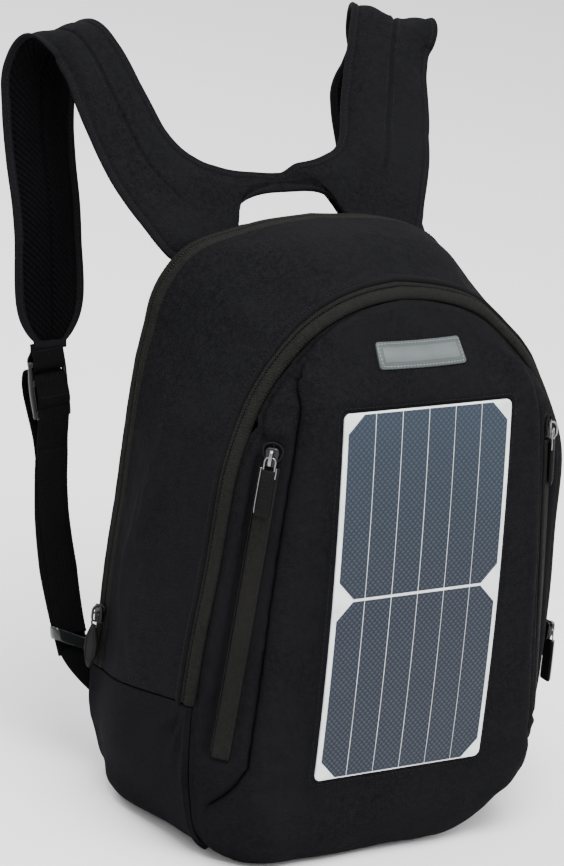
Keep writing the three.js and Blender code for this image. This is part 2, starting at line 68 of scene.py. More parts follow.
# ------------------------------------------------------------------ tables (mm)
LEAN = math.tan(math.radians(4))
FLOOR = 10.0  # tables are measured from 10 mm above the floor
BACK_Y, ZIP_Y, FOLD_Z = 88.0, 69.0, 47.0
T_BACK = [[0, -11], [55, -11], [92, -11], [118, -3], [131, 28], [136, 75], [135, 130], [131, 200], [130, 245], [127, 305], [118, 345], [102, 370], [80, 382], [45, 392], [0, 396]]
T_MID = [[0, -11], [60, -11], [102, -11], [130, -1], [145, 34], [150, 90], [149, 150], [145, 210], [139, 262], [128, 305], [112, 340], [96, 361], [78, 378], [53, 391], [25, 398], [0, 400]]
T_PIPE = [[0, -11], [58, -11], [99, -11], [128, 0], [142, 36], [148, 90], [147, 140], [142, 200], [138, 262], [127, 296], [112, 322], [90, 346], [72, 361], [48, 374], [24, 381], [0, 384]]
T_BAND = [[0, -11], [57, -11], [98, -11], [127, 1], [140, 36], [146, 90], [145, 140], [140, 200], [135, 262], [123, 295], [108, 320], [87, 342], [69, 356], [46, 367], [23, 373], [0, 375]]
T_SEAM = [[0, -9], [56, -9], [92, -8.5], [113, 4], [119, 38], [118, 69], [114, 126], [110, 200], [102, 286], [99, 310], [93, 332], [83, 341], [68, 353], [46, 363], [23, 369], [0, 371]]
T_FACE = [[0, 0], [52, 0], [88, 0.5], [106, 14], [111, 44], [110, 72], [106, 126], [102, 200], [96, 280], [92, 298], [85, 311], [70, 320], [46, 326], [23, 329], [0, 330]]
SEAM_Y = np.array([[-9, -84], [8, -94], [45, -98.5], [69, -97.5], [126, -93.5], [200, -88.4], [286, -82], [307, -78.5], [325, -70], [340, -60], [352, -54], [371, -50]], float)


def smooth(t):
    t = np.clip(t, 0, 1)
    return t * t * (3 - 2 * t)


def pipe_y(z):
    return -52 + 22 * smooth((np.asarray(z, float) - 240) / 144)


def band_y(z):
    return pipe_y(z) - 12.4


def face_y(z):
    return -92.3 + (np.asarray(z, float) - 184) * LEAN


def seam_y(z):
    return np.interp(z, SEAM_Y[:, 0], SEAM_Y[:, 1])


def catmull(points, per=24):
    """Centripetal Catmull-Rom through points, densely sampled."""
    p = np.array(points, float)
    p = np.vstack([2 * p[0] - p[1], p, 2 * p[-1] - p[-2]])
    out = []
    for i in range(1, len(p) - 2):
        p0, p1, p2, p3 = p[i - 1], p[i], p[i + 1], p[i + 2]
        t0 = 0
        t1 = t0 + max(np.linalg.norm(p1 - p0), 1e-9) ** 0.5
        t2 = t1 + max(np.linalg.norm(p2 - p1), 1e-9) ** 0.5
        t3 = t2 + max(np.linalg.norm(p3 - p2), 1e-9) ** 0.5
        t = np.linspace(t1, t2, per, endpoint=False)[:, None]
        a1 = (t1 - t) / (t1 - t0) * p0 + (t - t0) / (t1 - t0) * p1
        a2 = (t2 - t) / (t2 - t1) * p1 + (t - t1) / (t2 - t1) * p2
        a3 = (t3 - t) / (t3 - t2) * p2 + (t - t2) / (t3 - t2) * p3
        b1 = (t2 - t) / (t2 - t0) * a1 + (t - t0) / (t2 - t0) * a2
        b2 = (t3 - t) / (t3 - t1) * a2 + (t - t1) / (t3 - t1) * a3
        out.append((t2 - t) / (t2 - t1) * b1 + (t - t1) / (t2 - t1) * b2)
    out.append(p[-2][None])
    return np.vstack(out)


def resample(line, n):
    line = np.asarray(line, float)
    s = np.concatenate([[0], np.cumsum(np.linalg.norm(np.diff(line, axis=0), axis=1))])
    t = np.linspace(0, s[-1], n)
    return np.stack([np.interp(t, s, line[:, k]) for k in range(line.shape[1])], 1)


class Ring:
    """Half outline of the bag at one depth, by arc fraction or by height."""

    def __init__(self, table, yf):
        self.line = resample(catmull(table), 700)
        self.line[:, 0] = np.maximum(self.line[:, 0], 0)
        self.yf = yf
        # height table of the side: from the widest floor point up
        z = self.line[:, 1]
        k = int(np.argmax(z > (z[0] + 1.0)))
        self.zs, self.ws = z[k:], self.line[k:, 0]

    def at(self, a):
        """(w, y, z) at arc fraction a from the floor centre to the crown."""
        i = np.asarray(a, float) * (len(self.line) - 1)
        w = np.interp(i, np.arange(len(self.line)), self.line[:, 0])
        z = np.interp(i, np.arange(len(self.line)), self.line[:, 1])
        return np.stack([w, self.yf(z) + 0 * z, z], -1)

    def width(self, z):
        return np.interp(z, self.zs, self.ws)

    def frac(self, z):
        """Arc fraction where the side reaches height z."""
        zz = self.line[:, 1]
        k = np.argmax(zz > (zz[0] + 1.0))
        return np.interp(z, zz[k:], np.arange(k, len(zz))) / (len(zz) - 1)


const = lambda v: (lambda z: v + 0 * np.asarray(z, float))
R_BACK = Ring(T_BACK, const(82))
R_ZIP = Ring([[w + (1.5 if w > 60 else 0), z + (1.5 if z > 60 else 0)] for w, z in T_BACK], const(66))
R_MID = Ring(T_MID, const(20))
R_PIPE = Ring(T_PIPE, pipe_y)
R_BAND = Ring(T_BAND, band_y)
R_SEAM = Ring(T_SEAM, seam_y)
R_FACE = Ring(T_FACE, face_y)
# knots across the bag's depth, back to front
KNOTS = [(0.0, R_BACK), (1.0, R_ZIP), (2.0, R_MID), (3.0, R_PIPE)]


def hermite(v, pts):
    """Smooth interpolation of per-knot arrays at v in [0, len-1]."""
    n = len(pts)
    i = int(min(max(math.floor(v), 0), n - 2))
    t = v - i
    p1, p2 = pts[i], pts[i + 1]
    m1 = (pts[i + 1] - pts[i - 1]) / 2 if i > 0 else (p2 - p1)
    m2 = (pts[i + 2] - pts[i]) / 2 if i + 2 < n else (p2 - p1)
    h1 = 2 * t**3 - 3 * t**2 + 1
    h2 = -2 * t**3 + 3 * t**2
    h3 = t**3 - 2 * t**2 + t
    h4 = t**3 - t**2
    return h1 * p1 + h2 * p2 + h3 * m1 + h4 * m2


def fuller(P):
    """The filled bag stands a little wider than its pattern, most at the front right."""
    P = np.array(P, float)
    x, y, z = P[:, 0], P[:, 1], P[:, 2]
    body = smooth((88 - y) / 6.0) * smooth((z - 20) / 60.0)
    right_ = smooth((x - 70) / 55.0) * body * smooth((372 - z) / 50.0)
    left_ = smooth((-x - 80) / 45.0) * smooth((y + 30) / 60.0) * smooth((z - 100) / 80.0) * smooth((378 - z) / 40.0) * smooth((100 - y) / 6.0)
    P[:, 0] = x + 5.0 * right_ - 2.6 * left_
    P[:, 2] += 3.0 * smooth((z - 350) / 35.0) * smooth((y + 34) / 40.0) * smooth((96 - y) / 6.0)
    low = smooth((45 - z) / 45.0)
    cor = smooth((z - 325) / 36.0) * smooth((412 - z) / 26.0) * smooth((-x - 55) / 40.0) * smooth((y - 10) / 50.0)
    P[:, 0] -= 4.5 * cor
    P[:, 2] += 2.0 * cor
    # the right foot is rounder, the left foot sits out
    P[:, 0] -= 5.0 * low * smooth((x - 80) / 50.0) * smooth((60 - y) / 60.0)
    rear = smooth((y - 42) / 46.0)
    P[:, 0] += (4.5 * smooth((52 - z) / 42.0) * rear - 9.0 * smooth((20 - z) / 26.0) * (1 - rear)) * smooth((-x - 60) / 60.0) * smooth((y + 30) / 60.0)
    P[:, 2] += 1.8 * smooth((20 - z) / 20.0) * smooth((-40 - y) / 50.0)
    P[:, 2] += 20.0 * smooth((36 - z) / 36.0) * smooth((x - 48) / 66.0) * smooth((-5 - y) / 60.0)
    sh = smooth((x - 15) / 60.0) * smooth((z - 290) / 50.0) * smooth((92 - y) / 40.0) * smooth((y + 62) / 30.0)
    P[:, 0] += 3.5 * sh
    P[:, 2] += 3.0 * sh
    return P


# ------------------------------------------------------------------ mesh helpers
def make(name, verts, faces, mats=(), scale=MM, smooth_shade=True):
    me = bpy.data.meshes.new(name)
    verts = np.asarray(verts, float)
    if verts[:, 1].mean() < 95:
        verts = fuller(verts)
    me.from_pydata(((verts + [0, 0, FLOOR]) * scale).tolist(), [], [list(map(int, f)) for f in faces])
    me.update()
    ob = bpy.data.objects.new(name, me)
    bpy.context.scene.collection.objects.link(ob)
    for m in mats:
        me.materials.append(m)
    if smooth_shade:
        me.polygons.foreach_set("use_smooth", [True] * len(me.polygons))
    return ob


def grid_faces(rows, cols, closed=False, flip=False):
    out = []
    last = cols if closed else cols - 1
    for r in range(rows - 1):
        for c in range(last):
            a, b = r * cols + c, r * cols + (c + 1) % cols
            q = (a, b, b + cols, a + cols)
            out.append(q[::-1] if flip else q)
    return out


def grid_normals(P):
    du = np.gradient(P, axis=1)
    dv = np.gradient(P, axis=0)
    n = np.cross(du, dv)
    return n / np.maximum(np.linalg.norm(n, axis=-1, keepdims=True), 1e-9)


def modify(ob, kind, **kw):
    m = ob.modifiers.new(kind.lower(), kind)
    for k, v in kw.items():
        setattr(m, k, v)
    return m


def apply_all(ob):
    dg = bpy.context.evaluated_depsgraph_get()
    bpy.context.view_layer.update()
    ev = ob.evaluated_get(dg)
    me = bpy.data.meshes.new_from_object(ev, preserve_all_data_layers=True, depsgraph=dg)
    old = ob.data
    ob.modifiers.clear()
    ob.data = me
    if old.users == 0:
        bpy.data.meshes.remove(old)
    return ob


def shell(ob, t, sub=1):
    modify(ob, "SOLIDIFY", thickness=t * MM, offset=-1.0, use_even_offset=False)
    if sub:
        modify(ob, "SUBSURF", levels=sub, render_levels=sub)
    return apply_all(ob)


# value noise, seeded, on numpy arrays
_perm = rng.permutation(4096)
_val = rng.uniform(-1, 1, 4096)


def vnoise(p):
    p = np.asarray(p, float)
    i = np.floor(p).astype(int)
    f = p - i
    f = f * f * (3 - 2 * f)
    out = 0
    for dx in (0, 1):
        for dy in (0, 1):
            for dz in (0, 1):
                h = _perm[(_perm[(_perm[(i[..., 0] + dx) % 4096] + i[..., 1] + dy) % 4096] + i[..., 2] + dz) % 4096]
                w = (f[..., 0] if dx else 1 - f[..., 0]) * (f[..., 1] if dy else 1 - f[..., 1]) * (f[..., 2] if dz else 1 - f[..., 2])
                out = out + _val[h] * w
    return out


def fbm(p, octaves=3):
    return sum(vnoise(np.asarray(p) * 2**k + 17.3 * k) / 2**k for k in range(octaves))


# ------------------------------------------------------------------ materials
def new_mat(name):
    m = bpy.data.materials.new(name)
    m.use_nodes = True
    nt = m.node_tree
    bsdf = next(n for n in nt.nodes if n.type == "BSDF_PRINCIPLED")
    return m, nt, bsdf


def node(nt, kind, **kw):
    n = nt.nodes.new(kind)
    for k, v in kw.items():
        if k.startswith("i_"):
            n.inputs[k[2:].replace("_", " ")].default_value = v
        else:
            setattr(n, k, v)
    return n


def math_node(nt, op, a, b=None):
    n = nt.nodes.new("ShaderNodeMath")
    n.operation = op
    for i, v in enumerate((a, b)):
        if v is None:
            continue
        if isinstance(v, (int, float)):
            n.inputs[i].default_value = v
        else:
            nt.links.new(v, n.inputs[i])
    return n.outputs[0]


def ramp(nt, fac, stops):
    n = nt.nodes.new("ShaderNodeValToRGB")
    nt.links.new(fac, n.inputs[0])
    e = n.color_ramp.elements
    while len(e) < len(stops):
        e.new(0.5)
    for el, (p, c) in zip(e, stops):
        el.position = p
        el.color = (*c, 1) if len(c) == 3 else c
    return n.outputs[0]


def fabric(name, col, rough=0.8, pitch=0.6, weave=0.5, bump=0.25, sheen=0.25, twill=False, mottle=0.35, wear=0.25):
    """Woven cloth: yarns from the UV map in metres, fibre mottle and rubbed patches from object space."""
    m, nt, b = new_mat(name)
    uv = node(nt, "ShaderNodeUVMap")
    sep = nt.nodes.new("ShaderNodeSeparateXYZ")
    nt.links.new(uv.outputs[0], sep.inputs[0])
    k = math.pi / (pitch * MM)
    u = math_node(nt, "MULTIPLY", sep.outputs[0], k)
    v = math_node(nt, "MULTIPLY", sep.outputs[1], k)
    if twill:
        d = math_node(nt, "ADD", u, v)
        w = math_node(nt, "SINE", d)
        w2 = math_node(nt, "SINE", math_node(nt, "MULTIPLY", u, 2.0))
        h = math_node(nt, "ADD", w, math_node(nt, "MULTIPLY", w2, 0.35))
    else:
        h = math_node(nt, "MULTIPLY", math_node(nt, "SINE", u), math_node(nt, "SINE", v))
    tc = node(nt, "ShaderNodeTexCoord")
    n1 = node(nt, "ShaderNodeTexNoise", i_Scale=650.0, i_Detail=3.0, i_Roughness=0.7)
    n2 = node(nt, "ShaderNodeTexNoise", i_Scale=14.0, i_Detail=5.0, i_Roughness=0.62)
    n3 = node(nt, "ShaderNodeTexNoise", i_Scale=260.0, i_Detail=2.0, i_Roughness=0.5)
    for n in (n1, n2, n3):
        nt.links.new(tc.outputs["Object"], n.inputs["Vector"])
    dark = tuple(c * (1 - mottle) for c in col)
    light = tuple(min(1, c * (1 + mottle)) for c in col)
    worn = tuple(min(1, c * (1 + wear) + 0.004 * wear) for c in col)
    fibre = math_node(nt, "ADD", math_node(nt, "MULTIPLY", n1.outputs[0], 0.65), math_node(nt, "MULTIPLY", n3.outputs[0], 0.35))
    c1 = ramp(nt, fibre, [(0.32, dark), (0.5, col), (0.68, light)])
    patch = ramp(nt, n2.outputs[0], [(0.42, (0, 0, 0)), (0.66, (1, 1, 1))])
    mix = node(nt, "ShaderNodeMix", data_type="RGBA")
    nt.links.new(math_node(nt, "MULTIPLY", patch, 0.6), mix.inputs[0])
    nt.links.new(c1, mix.inputs[6])
    mix.inputs[7].default_value = (*worn, 1)
    nt.links.new(mix.outputs[2], b.inputs["Base Color"])
    r = node(nt, "ShaderNodeMapRange")
    nt.links.new(n2.outputs[0], r.inputs["Value"])
    r.inputs["From Min"].default_value, r.inputs["From Max"].default_value = 0.3, 0.7
    r.inputs["To Min"].default_value, r.inputs["To Max"].default_value = max(0.2, rough - 0.08), min(1, rough + 0.08)
    nt.links.new(r.outputs[0], b.inputs["Roughness"])
    hh = math_node(nt, "ADD", math_node(nt, "MULTIPLY", h, weave), math_node(nt, "MULTIPLY", n1.outputs[0], 0.6))
    bm = node(nt, "ShaderNodeBump", i_Strength=bump, i_Distance=0.0005)
    nt.links.new(hh, bm.inputs["Height"])
    nt.links.new(bm.outputs[0], b.inputs["Normal"])
    b.inputs["Sheen Weight"].default_value = sheen
    b.inputs["Sheen Roughness"].default_value = 0.5
    b.inputs["Specular IOR Level"].default_value = 0.03
    return m


def plastic(name, col, rough=0.4, metallic=0.0, grain=0.1, grain_scale=350.0, coat=0.0, spec=0.5):
    m, nt, b = new_mat(name)
    tc = node(nt, "ShaderNodeTexCoord")
    n1 = node(nt, "ShaderNodeTexNoise", i_Scale=grain_scale, i_Detail=4.0)
    n2 = node(nt, "ShaderNodeTexNoise", i_Scale=35.0, i_Detail=4.0)
    for n in (n1, n2):
        nt.links.new(tc.outputs["Object"], n.inputs["Vector"])
    c = ramp(nt, n2.outputs[0], [(0.35, tuple(x * 0.85 for x in col)), (0.65, tuple(min(1, x * 1.15) for x in col))])
    nt.links.new(c, b.inputs["Base Color"])
    r = node(nt, "ShaderNodeMapRange")
    nt.links.new(n2.outputs[0], r.inputs["Value"])
    r.inputs["To Min"].default_value, r.inputs["To Max"].default_value = max(0.05, rough - 0.12), min(1, rough + 0.12)
    nt.links.new(r.outputs[0], b.inputs["Roughness"])
    bm = node(nt, "ShaderNodeBump", i_Strength=grain, i_Distance=0.0003)
    nt.links.new(n1.outputs[0], bm.inputs["Height"])
    nt.links.new(bm.outputs[0], b.inputs["Normal"])
    b.inputs["Metallic"].default_value = metallic
    b.inputs["Coat Weight"].default_value = coat
    b.inputs["Specular IOR Level"].default_value = spec
    return m


SHELL = fabric("shell_cloth", (0.0054, 0.0054, 0.0062), rough=0.9, pitch=0.8, weave=0.8, bump=0.5, sheen=0.0, mottle=0.55)
BASE = fabric("base_cloth", (0.0046, 0.0046, 0.0057), rough=0.9, pitch=0.8, weave=0.8, bump=0.5, sheen=0.0, mottle=0.55)
BAND = fabric("zip_band_cloth", (0.0092, 0.0091, 0.0085), rough=0.78, pitch=1.1, weave=1.0, bump=0.5, sheen=0.0)
BINDING = fabric("binding_tape", (0.005, 0.005, 0.0057), rough=0.8, pitch=0.35, bump=0.3, sheen=0.0, twill=True)
MESH3D = fabric("spacer_mesh", (0.0018, 0.0018, 0.0022), rough=0.95, pitch=2.2, weave=1.6, bump=0.9, sheen=0.0, twill=True)
WEB = fabric("webbing", (0.003, 0.003, 0.0034), rough=0.75, pitch=1.1, weave=1.2, bump=0.6, sheen=0.0, twill=True)
LINING = fabric("lining_cloth", (0.09, 0.092, 0.097), rough=0.8, pitch=0.3, bump=0.2)
MESH_IN = fabric("pocket_mesh", (0.03, 0.031, 0.033), rough=0.9, pitch=1.6, weave=1.4, bump=0.8, sheen=0.0)
THREAD = plastic("thread", (0.0035, 0.0035, 0.004), rough=0.7, grain=0.2, spec=0.2)
TEETH = plastic("zip_teeth", (0.004, 0.004, 0.0045), rough=0.45, grain=0.05, spec=0.35)
METAL = plastic("zip_metal", (0.2, 0.2, 0.205), rough=0.3, metallic=1.0, grain=0.08)
RUBBER = plastic("pull_rubber", (0.0022, 0.0022, 0.0026), rough=0.7, grain=0.25, spec=0.12)
BUCKLE = plastic("buckle_plastic", (0.003, 0.003, 0.0034), rough=0.36, grain=0.12, spec=0.25)
KEEPER = plastic("keeper_plastic", (0.008, 0.0085, 0.009), rough=0.24, grain=0.08, coat=0.15, spec=0.35)
PATCH = plastic("patch_rubber", (0.036, 0.045, 0.046), rough=0.55, grain=0.35)
BOARD = plastic("stiffener_board", (0.035, 0.037, 0.042), rough=0.5, grain=0.1)
BOXP = plastic("box_plastic", (0.02, 0.02, 0.022), rough=0.5, grain=0.2)
STEEL = plastic("socket_steel", (0.5, 0.5, 0.51), rough=0.3, metallic=1.0, grain=0.05)


# ------------------------------------------------------------------ cloth pass
def set_uv(ob, uvs):
    """uvs: per-vertex (u, v) in metres."""
    me = ob.data
    layer = me.uv_layers.new(name="UVMap")
    idx = np.empty(len(me.loops), int)
    me.loops.foreach_get("vertex_index", idx)
    layer.data.foreach_set("uv", np.asarray(uvs, float)[idx].ravel())


def arc_uv(P):
    """Rough arc-length coordinates of a grid, in metres."""
    du = np.linalg.norm(np.diff(P, axis=1), axis=-1)
    dv = np.linalg.norm(np.diff(P, axis=0), axis=-1)
    u = np.concatenate([np.zeros((P.shape[0], 1)), np.cumsum(du, axis=1)], 1)
    u -= u[:, u.shape[1] // 2][:, None]
    v = np.concatenate([np.zeros((1, P.shape[1])), np.cumsum(dv, axis=0)], 0)
    return (np.stack([u, v], -1) * MM).reshape(-1, 2)


def coords(me):
    co = np.empty(len(me.vertices) * 3)
    me.vertices.foreach_get("co", co)
    return co.reshape(-1, 3)


def cloth_pass(jobs, frames=16):
    """jobs: (object, pin weights, pressure, growth, cap in mm). One run for all; the result is applied."""
    if not jobs:
        return
    sc = bpy.context.scene
    for ob, pin, pressure, growth, cap in jobs:
        g = ob.vertex_groups.new(name="pin")
        for w in np.unique(np.round(pin, 2)):
            if w > 0:
                g.add(np.nonzero(np.round(pin, 2) == w)[0].tolist(), float(w), "REPLACE")
        m = ob.modifiers.new("cloth", "CLOTH")
        s = m.settings
        s.vertex_group_mass = "pin"
        s.quality = 6
        s.mass = 0.3
        s.air_damping = 3.0
        s.tension_stiffness = s.compression_stiffness = 18
        s.shear_stiffness = 6
        s.bending_stiffness = 0.8
        s.tension_damping = s.compression_damping = 8
        s.use_pressure = True
        s.uniform_pressure_force = pressure
        s.shrink_min = -growth
        s.effector_weights.gravity = 0
        m.collision_settings.use_collision = False
        m.collision_settings.use_self_collision = False
        m.point_cache.frame_start, m.point_cache.frame_end = 1, frames
    for f in range(1, frames + 1):
        sc.frame_set(f)
    dg = bpy.context.evaluated_depsgraph_get()
    for ob, pin, pressure, growth, cap in jobs:
        ev = ob.evaluated_get(dg)
        new = coords(ev.data)
        old = coords(ob.data)
        d = new - old
        l = np.linalg.norm(d, axis=1, keepdims=True)
        c = cap * MM
        d = d / np.maximum(l, 1e-9) * (c * np.tanh(l / c))
        d[~np.isfinite(d).all(axis=1)] = 0
        ob.modifiers.clear()
        ob.vertex_groups.clear()
        ob.data.vertices.foreach_set("co", (old + d).ravel())
        ob.data.update()
        print("cloth", ob.name, "max move mm", round(float(np.linalg.norm(d, axis=1).max() * 1000), 1))
    sc.frame_set(1)


# ------------------------------------------------------------------ bag skins
def seam_height(y):
    return np.interp(y, [-66, -50, 62, 76], [103.5, 102, 78.2, 75.6])


def body_rows(v, n, a_full):
    pts = [r.at(a_full) for _, r in KNOTS]
    return hermite(v, pts)


def gusset_grid(v0, v1, nv, nq, seam=True):
    """Grid over the top, from base seam to base seam: rows along the depth, columns over the arch."""
    A = np.linspace(0, 1, 4000)
    rows = []
    for v in np.linspace(v0, v1, nv):
        P = body_rows(v, 0, A)
        a0 = A[np.argmax(P[:, 2] > seam_height(P[:, 1]) + 0.1)] if seam else 0
        a = np.linspace(a0, 1, nq // 2 + 1)
        h = np.stack([np.interp(a, A, P[:, k]) for k in range(3)], 1)
        left = h * [-1, 1, 1]
        rows.append(np.vstack([left, h[::-1][1:]]))
    return np.array(rows)


soft_jobs = []
finish_jobs = []

G = gusset_grid(1.09, 2.985, 64, 220)
vn = np.linspace(0, 1, G.shape[0])[:, None]
qn = np.linspace(0, 1, G.shape[1])[None, :]
N = grid_normals(G)
if (N[:, 0, 0] > 0).mean() > 0.5:
    N = -N
crease = fbm(G / [60, 50, 80], 2) * 0.7 + fbm(G / [90, 30, 40] + 5, 2) * 0.25
edge = np.minimum(1, np.minimum(vn, 1 - vn) * 9) * np.minimum(1, np.minimum(qn, 1 - qn) * 22)
G2 = G + N * (edge * crease)[..., None]
gusset = make("main_shell_skin", G2.reshape(-1, 3), grid_faces(*G.shape[:2]), [SHELL])
set_uv(gusset, arc_uv(G))
pin = np.zeros(G.shape[:2])
pin[:2] = pin[-2:] = 1
pin[:, :2] = pin[:, -2:] = 1
soft_jobs.append((gusset, pin.ravel(), 1.0, 0.004, 5.0))


# ---- height fields for the front and the back
def tps(points, values, reg=0.4):
    X = np.asarray(points, float)
    n = len(X)
    d = np.linalg.norm(X[:, None] - X[None], axis=-1)
    K = np.where(d > 0, d**2 * np.log(np.maximum(d, 1e-9)), 0) + np.eye(n) * reg * 50
    Pm = np.hstack([np.ones((n, 1)), X])
    A = np.block([[K, Pm], [Pm.T, np.zeros((3, 3))]])
    sol = np.linalg.solve(A, np.concatenate([values, np.zeros(3)]))

    def f(q):
        q = np.asarray(q, float).reshape(-1, 2)
        out = np.empty(len(q))
        for i in range(0, len(q), 8000):
            r = np.linalg.norm(q[i:i + 8000, None] - X[None], axis=-1)
            out[i:i + 8000] = (r**2 * np.log(np.maximum(r, 1e-9))) @ sol[:n] + sol[n] + q[i:i + 8000] @ sol[n + 1:]
        return out
    return f


def ring_points(ring, n, zmin):
    P = ring.at(np.linspace(0, 1, n))
    P = P[P[:, 2] > zmin]
    return np.vstack([P, P[:-1] * [-1, 1, 1]])


def panel_bulge(v):
    """How far the panel and the cloth under it are pushed out at height v from the panel's middle."""
    v = np.clip(np.asarray(v, float), -134, 134)
    return np.maximum(6.2 - 0.0124 * v - 2.764e-4 * v * v, 0)


pts = [ring_points(R_BAND, 34, 0), ring_points(R_SEAM, 34, 0), ring_points(R_FACE, 34, 3)]
face_rows = [[x, float(face_y(z)) - float(panel_bulge(z - 184)) * (1 - 0.75 * (x / 100) ** 2) - 1.2 * math.cos(x / 100 * 1.5) * math.sin((z - 5) / 340 * math.pi), z] for z in range(10, 322, 26) for x in (-80, -55, -28, 0, 28, 55, 80) if abs(x) < R_FACE.width(z) - 14]
pts.append(np.array(face_rows))
# rounded lower lip of the pocket
pts.append(np.array([[x, y, z] for x in (-85, -45, 0, 45, 85) for y, z in ((-104.2, 2), (-102.5, -3), (-98, -7.5))]))
sa, fa = R_SEAM.at(np.linspace(0.86, 1, 9)), R_FACE.at(np.linspace(0.86, 1, 9))
for f_ in (0.3, 0.62):
    Q = fa * (1 - f_) + sa * f_
    pts += [Q, Q * [-1, 1, 1]]
tz = np.linspace(0, 1, 9)
for sg in (-1, 1):
    pts.append(np.stack([sg * (112.5 + 18.5 * tz), -72 - 10 * tz + 0.9, 292 - 221 * tz], 1))
pts = np.vstack(pts)
pts[:, 0] += 1e-4 * np.arange(len(pts))
front_field = tps(pts[:, [0, 2]], pts[:, 1])


def slice_rows(zs, wf, nx, pw=1.0):
    t = np.linspace(-1, 1, nx)
    t = np.sign(t) * np.abs(t) ** pw
    return np.array([[[wf(z) * q, z] for q in t] for z in zs])


def side_zip(z):
    """x, y of the side-pocket zip line at height z (left side)."""
    t = (292 - z) / 221.0
    return -112.5 - 18.5 * t, -72 - 10 * t


_t = np.linspace(0, 1, 40)
_zx, _zz = 112.5 + 18.5 * _t, 292 - 221 * _t
_f = [front_field(np.stack([_zx + o_, _zz], 1)) for o_ in (-6.5, 0, 6.5)]
ZIP_Y = np.polyfit(_t, _f[1], 2)
ZIP_S = np.polyfit(_t, (_f[2] - _f[0]) / 13.0, 2)


def _front_y(q):
    """Skin depth at (x, z): the fitted field, drawn on to the band's line at the rim and flat under the panel."""
    q = np.asarray(q, float).reshape(-1, 2)
    x, z = np.abs(q[:, 0]), q[:, 1]
    y = front_field(np.stack([x, z], 1))
    w = R_BAND.width(np.clip(z, -2, 400))
    d = np.maximum(w - x, 0)
    yb = front_field(np.stack([w, z], 1))
    rim = smooth(1 - d / 16.0) * smooth((z - 20) / 50)
    y = y + (band_y(z) - yb) * rim
    # the strip under the side-pocket zip lies evenly
    t = np.clip((292 - z) / 221.0, -0.1, 1.1)
    off = x - (112.5 + 18.5 * t)
    even = np.exp(-(off / 9.5) ** 4) * smooth((z - 58) / 8) * smooth((308 - z) / 10)
    y = y * (1 - even) + (np.polyval(ZIP_Y, t) + np.polyval(ZIP_S, t) * off) * even
    # seat for the panel, a hair behind its sheet
    u = smooth((75 - x) / 5.0) * smooth((318 - z) / 5.0) * smooth((z - 50) / 5.0)
    seat = -92.65 + (z - 184) * LEAN - panel_bulge(z - 184)
    return y * (1 - u) + seat * u


_gx, _gz = np.arange(0, 164, 1.5), np.arange(-14, 390, 1.5)
_G = _front_y(np.stack(np.meshgrid(_gx, _gz), -1).reshape(-1, 2)).reshape(len(_gz), len(_gx))


def front_y(q):
    q = np.asarray(q, float).reshape(-1, 2)
    fx = np.clip(np.abs(q[:, 0]) / 1.5, 0, len(_gx) - 1.001)
    fz = np.clip((q[:, 1] + 14) / 1.5, 0, len(_gz) - 1.001)
    i, j = fx.astype(int), fz.astype(int)
    u, v = fx - i, fz - j
    return (_G[j, i] * (1 - u) + _G[j, i + 1] * u) * (1 - v) + (_G[j + 1, i] * (1 - u) + _G[j + 1, i + 1] * u) * v


z_top = float(R_BAND.line[-1, 1]) - 0.2
kk = np.linspace(0, 1, 210)
zs = z_top - (z_top + 8.0) * (1 - kk) ** 1.35


def seam_line(z):
    """Half distance of the front panel's side seam, with its slanted foot."""
    z = np.asarray(z, float)
    w_ = R_BAND.width(np.clip(z, -9.6, 400))
    l_ = np.where(z < 66, 119 + np.clip(66 - z, 0, 60) * 0.42, np.interp(z, R_SEAM.zs, R_SEAM.ws))
    return np.minimum(l_, w_ * 0.955)


def front_rows(zs):
    inner = 1 - (1 - np.linspace(0, 1, 92)) ** 1.55
    outer_ = np.linspace(0, 1, 44)[1:] ** 1.35
    rows = []
    for z in zs:
        l_, w_ = float(seam_line(z)), float(R_BAND.width(max(z, -9.6))) - 0.1
        h = np.concatenate([l_ * inner, l_ + (w_ - l_) * outer_])
        rows.append(np.stack([np.concatenate([-h[::-1], h[1:]]), np.full(2 * len(h) - 1, z)], 1))
    return np.array(rows)


F = front_rows(zs)
Y = front_y(F.reshape(-1, 2)).reshape(F.shape[:2])
FR = np.stack([F[..., 0], Y, F[..., 1]], -1)
FN = grid_normals(FR)
if FN[..., 1].mean() > 0:
    FN = -FN
X, Z = FR[..., 0], FR[..., 2]
# the panel seam: down the corner, then out to the pocket's foot
line_x = seam_line(Z)
dseam = (np.abs(X) - line_x) * np.where(Z < 66, 0.85, 1.0)
in_side = smooth((344 - Z) / 10) * smooth((Z - 26) / 12)
clear = 1 - smooth((80 - np.abs(X)) / 8) * smooth((322 - Z) / 8) * smooth((Z - 46) / 8)
disp = -4.6 * np.exp(-np.abs(dseam) / 0.8) * in_side - 1.7 * np.exp(-(dseam / 3.6) ** 2) * in_side
disp += 1.2 * np.exp(-((dseam - 9) / 5.5) ** 2) * in_side + 1.0 * np.exp(-((dseam + 8) / 6) ** 2) * in_side
zx, zy = side_zip(Z)
dz = np.abs(X) - np.abs(zx)
zip_on = smooth((300 - Z) / 5) * smooth((Z - 66) / 5)
disp += (-3.6 * np.exp(-((dz - 6.4) / 1.5) ** 2) - 0.7 * np.exp(-(dz / 7.0) ** 2)) * zip_on
disp += 1.0 * np.exp(-((dz - 12.5) / 4.5) ** 2) * smooth((290 - Z) / 20) * smooth((Z - 60) / 20)
gar = np.exp(-((dz / 6.2) ** 4 + ((Z - 284) / 12) ** 4))
disp += -2.2 * gar
disp += (fbm(FR / [42, 50, 60] + 3, 2) * 0.3 + fbm(FR / [80, 70, 120] + 9, 2) * 0.7) * smooth((375 - Z) / 30) * clear
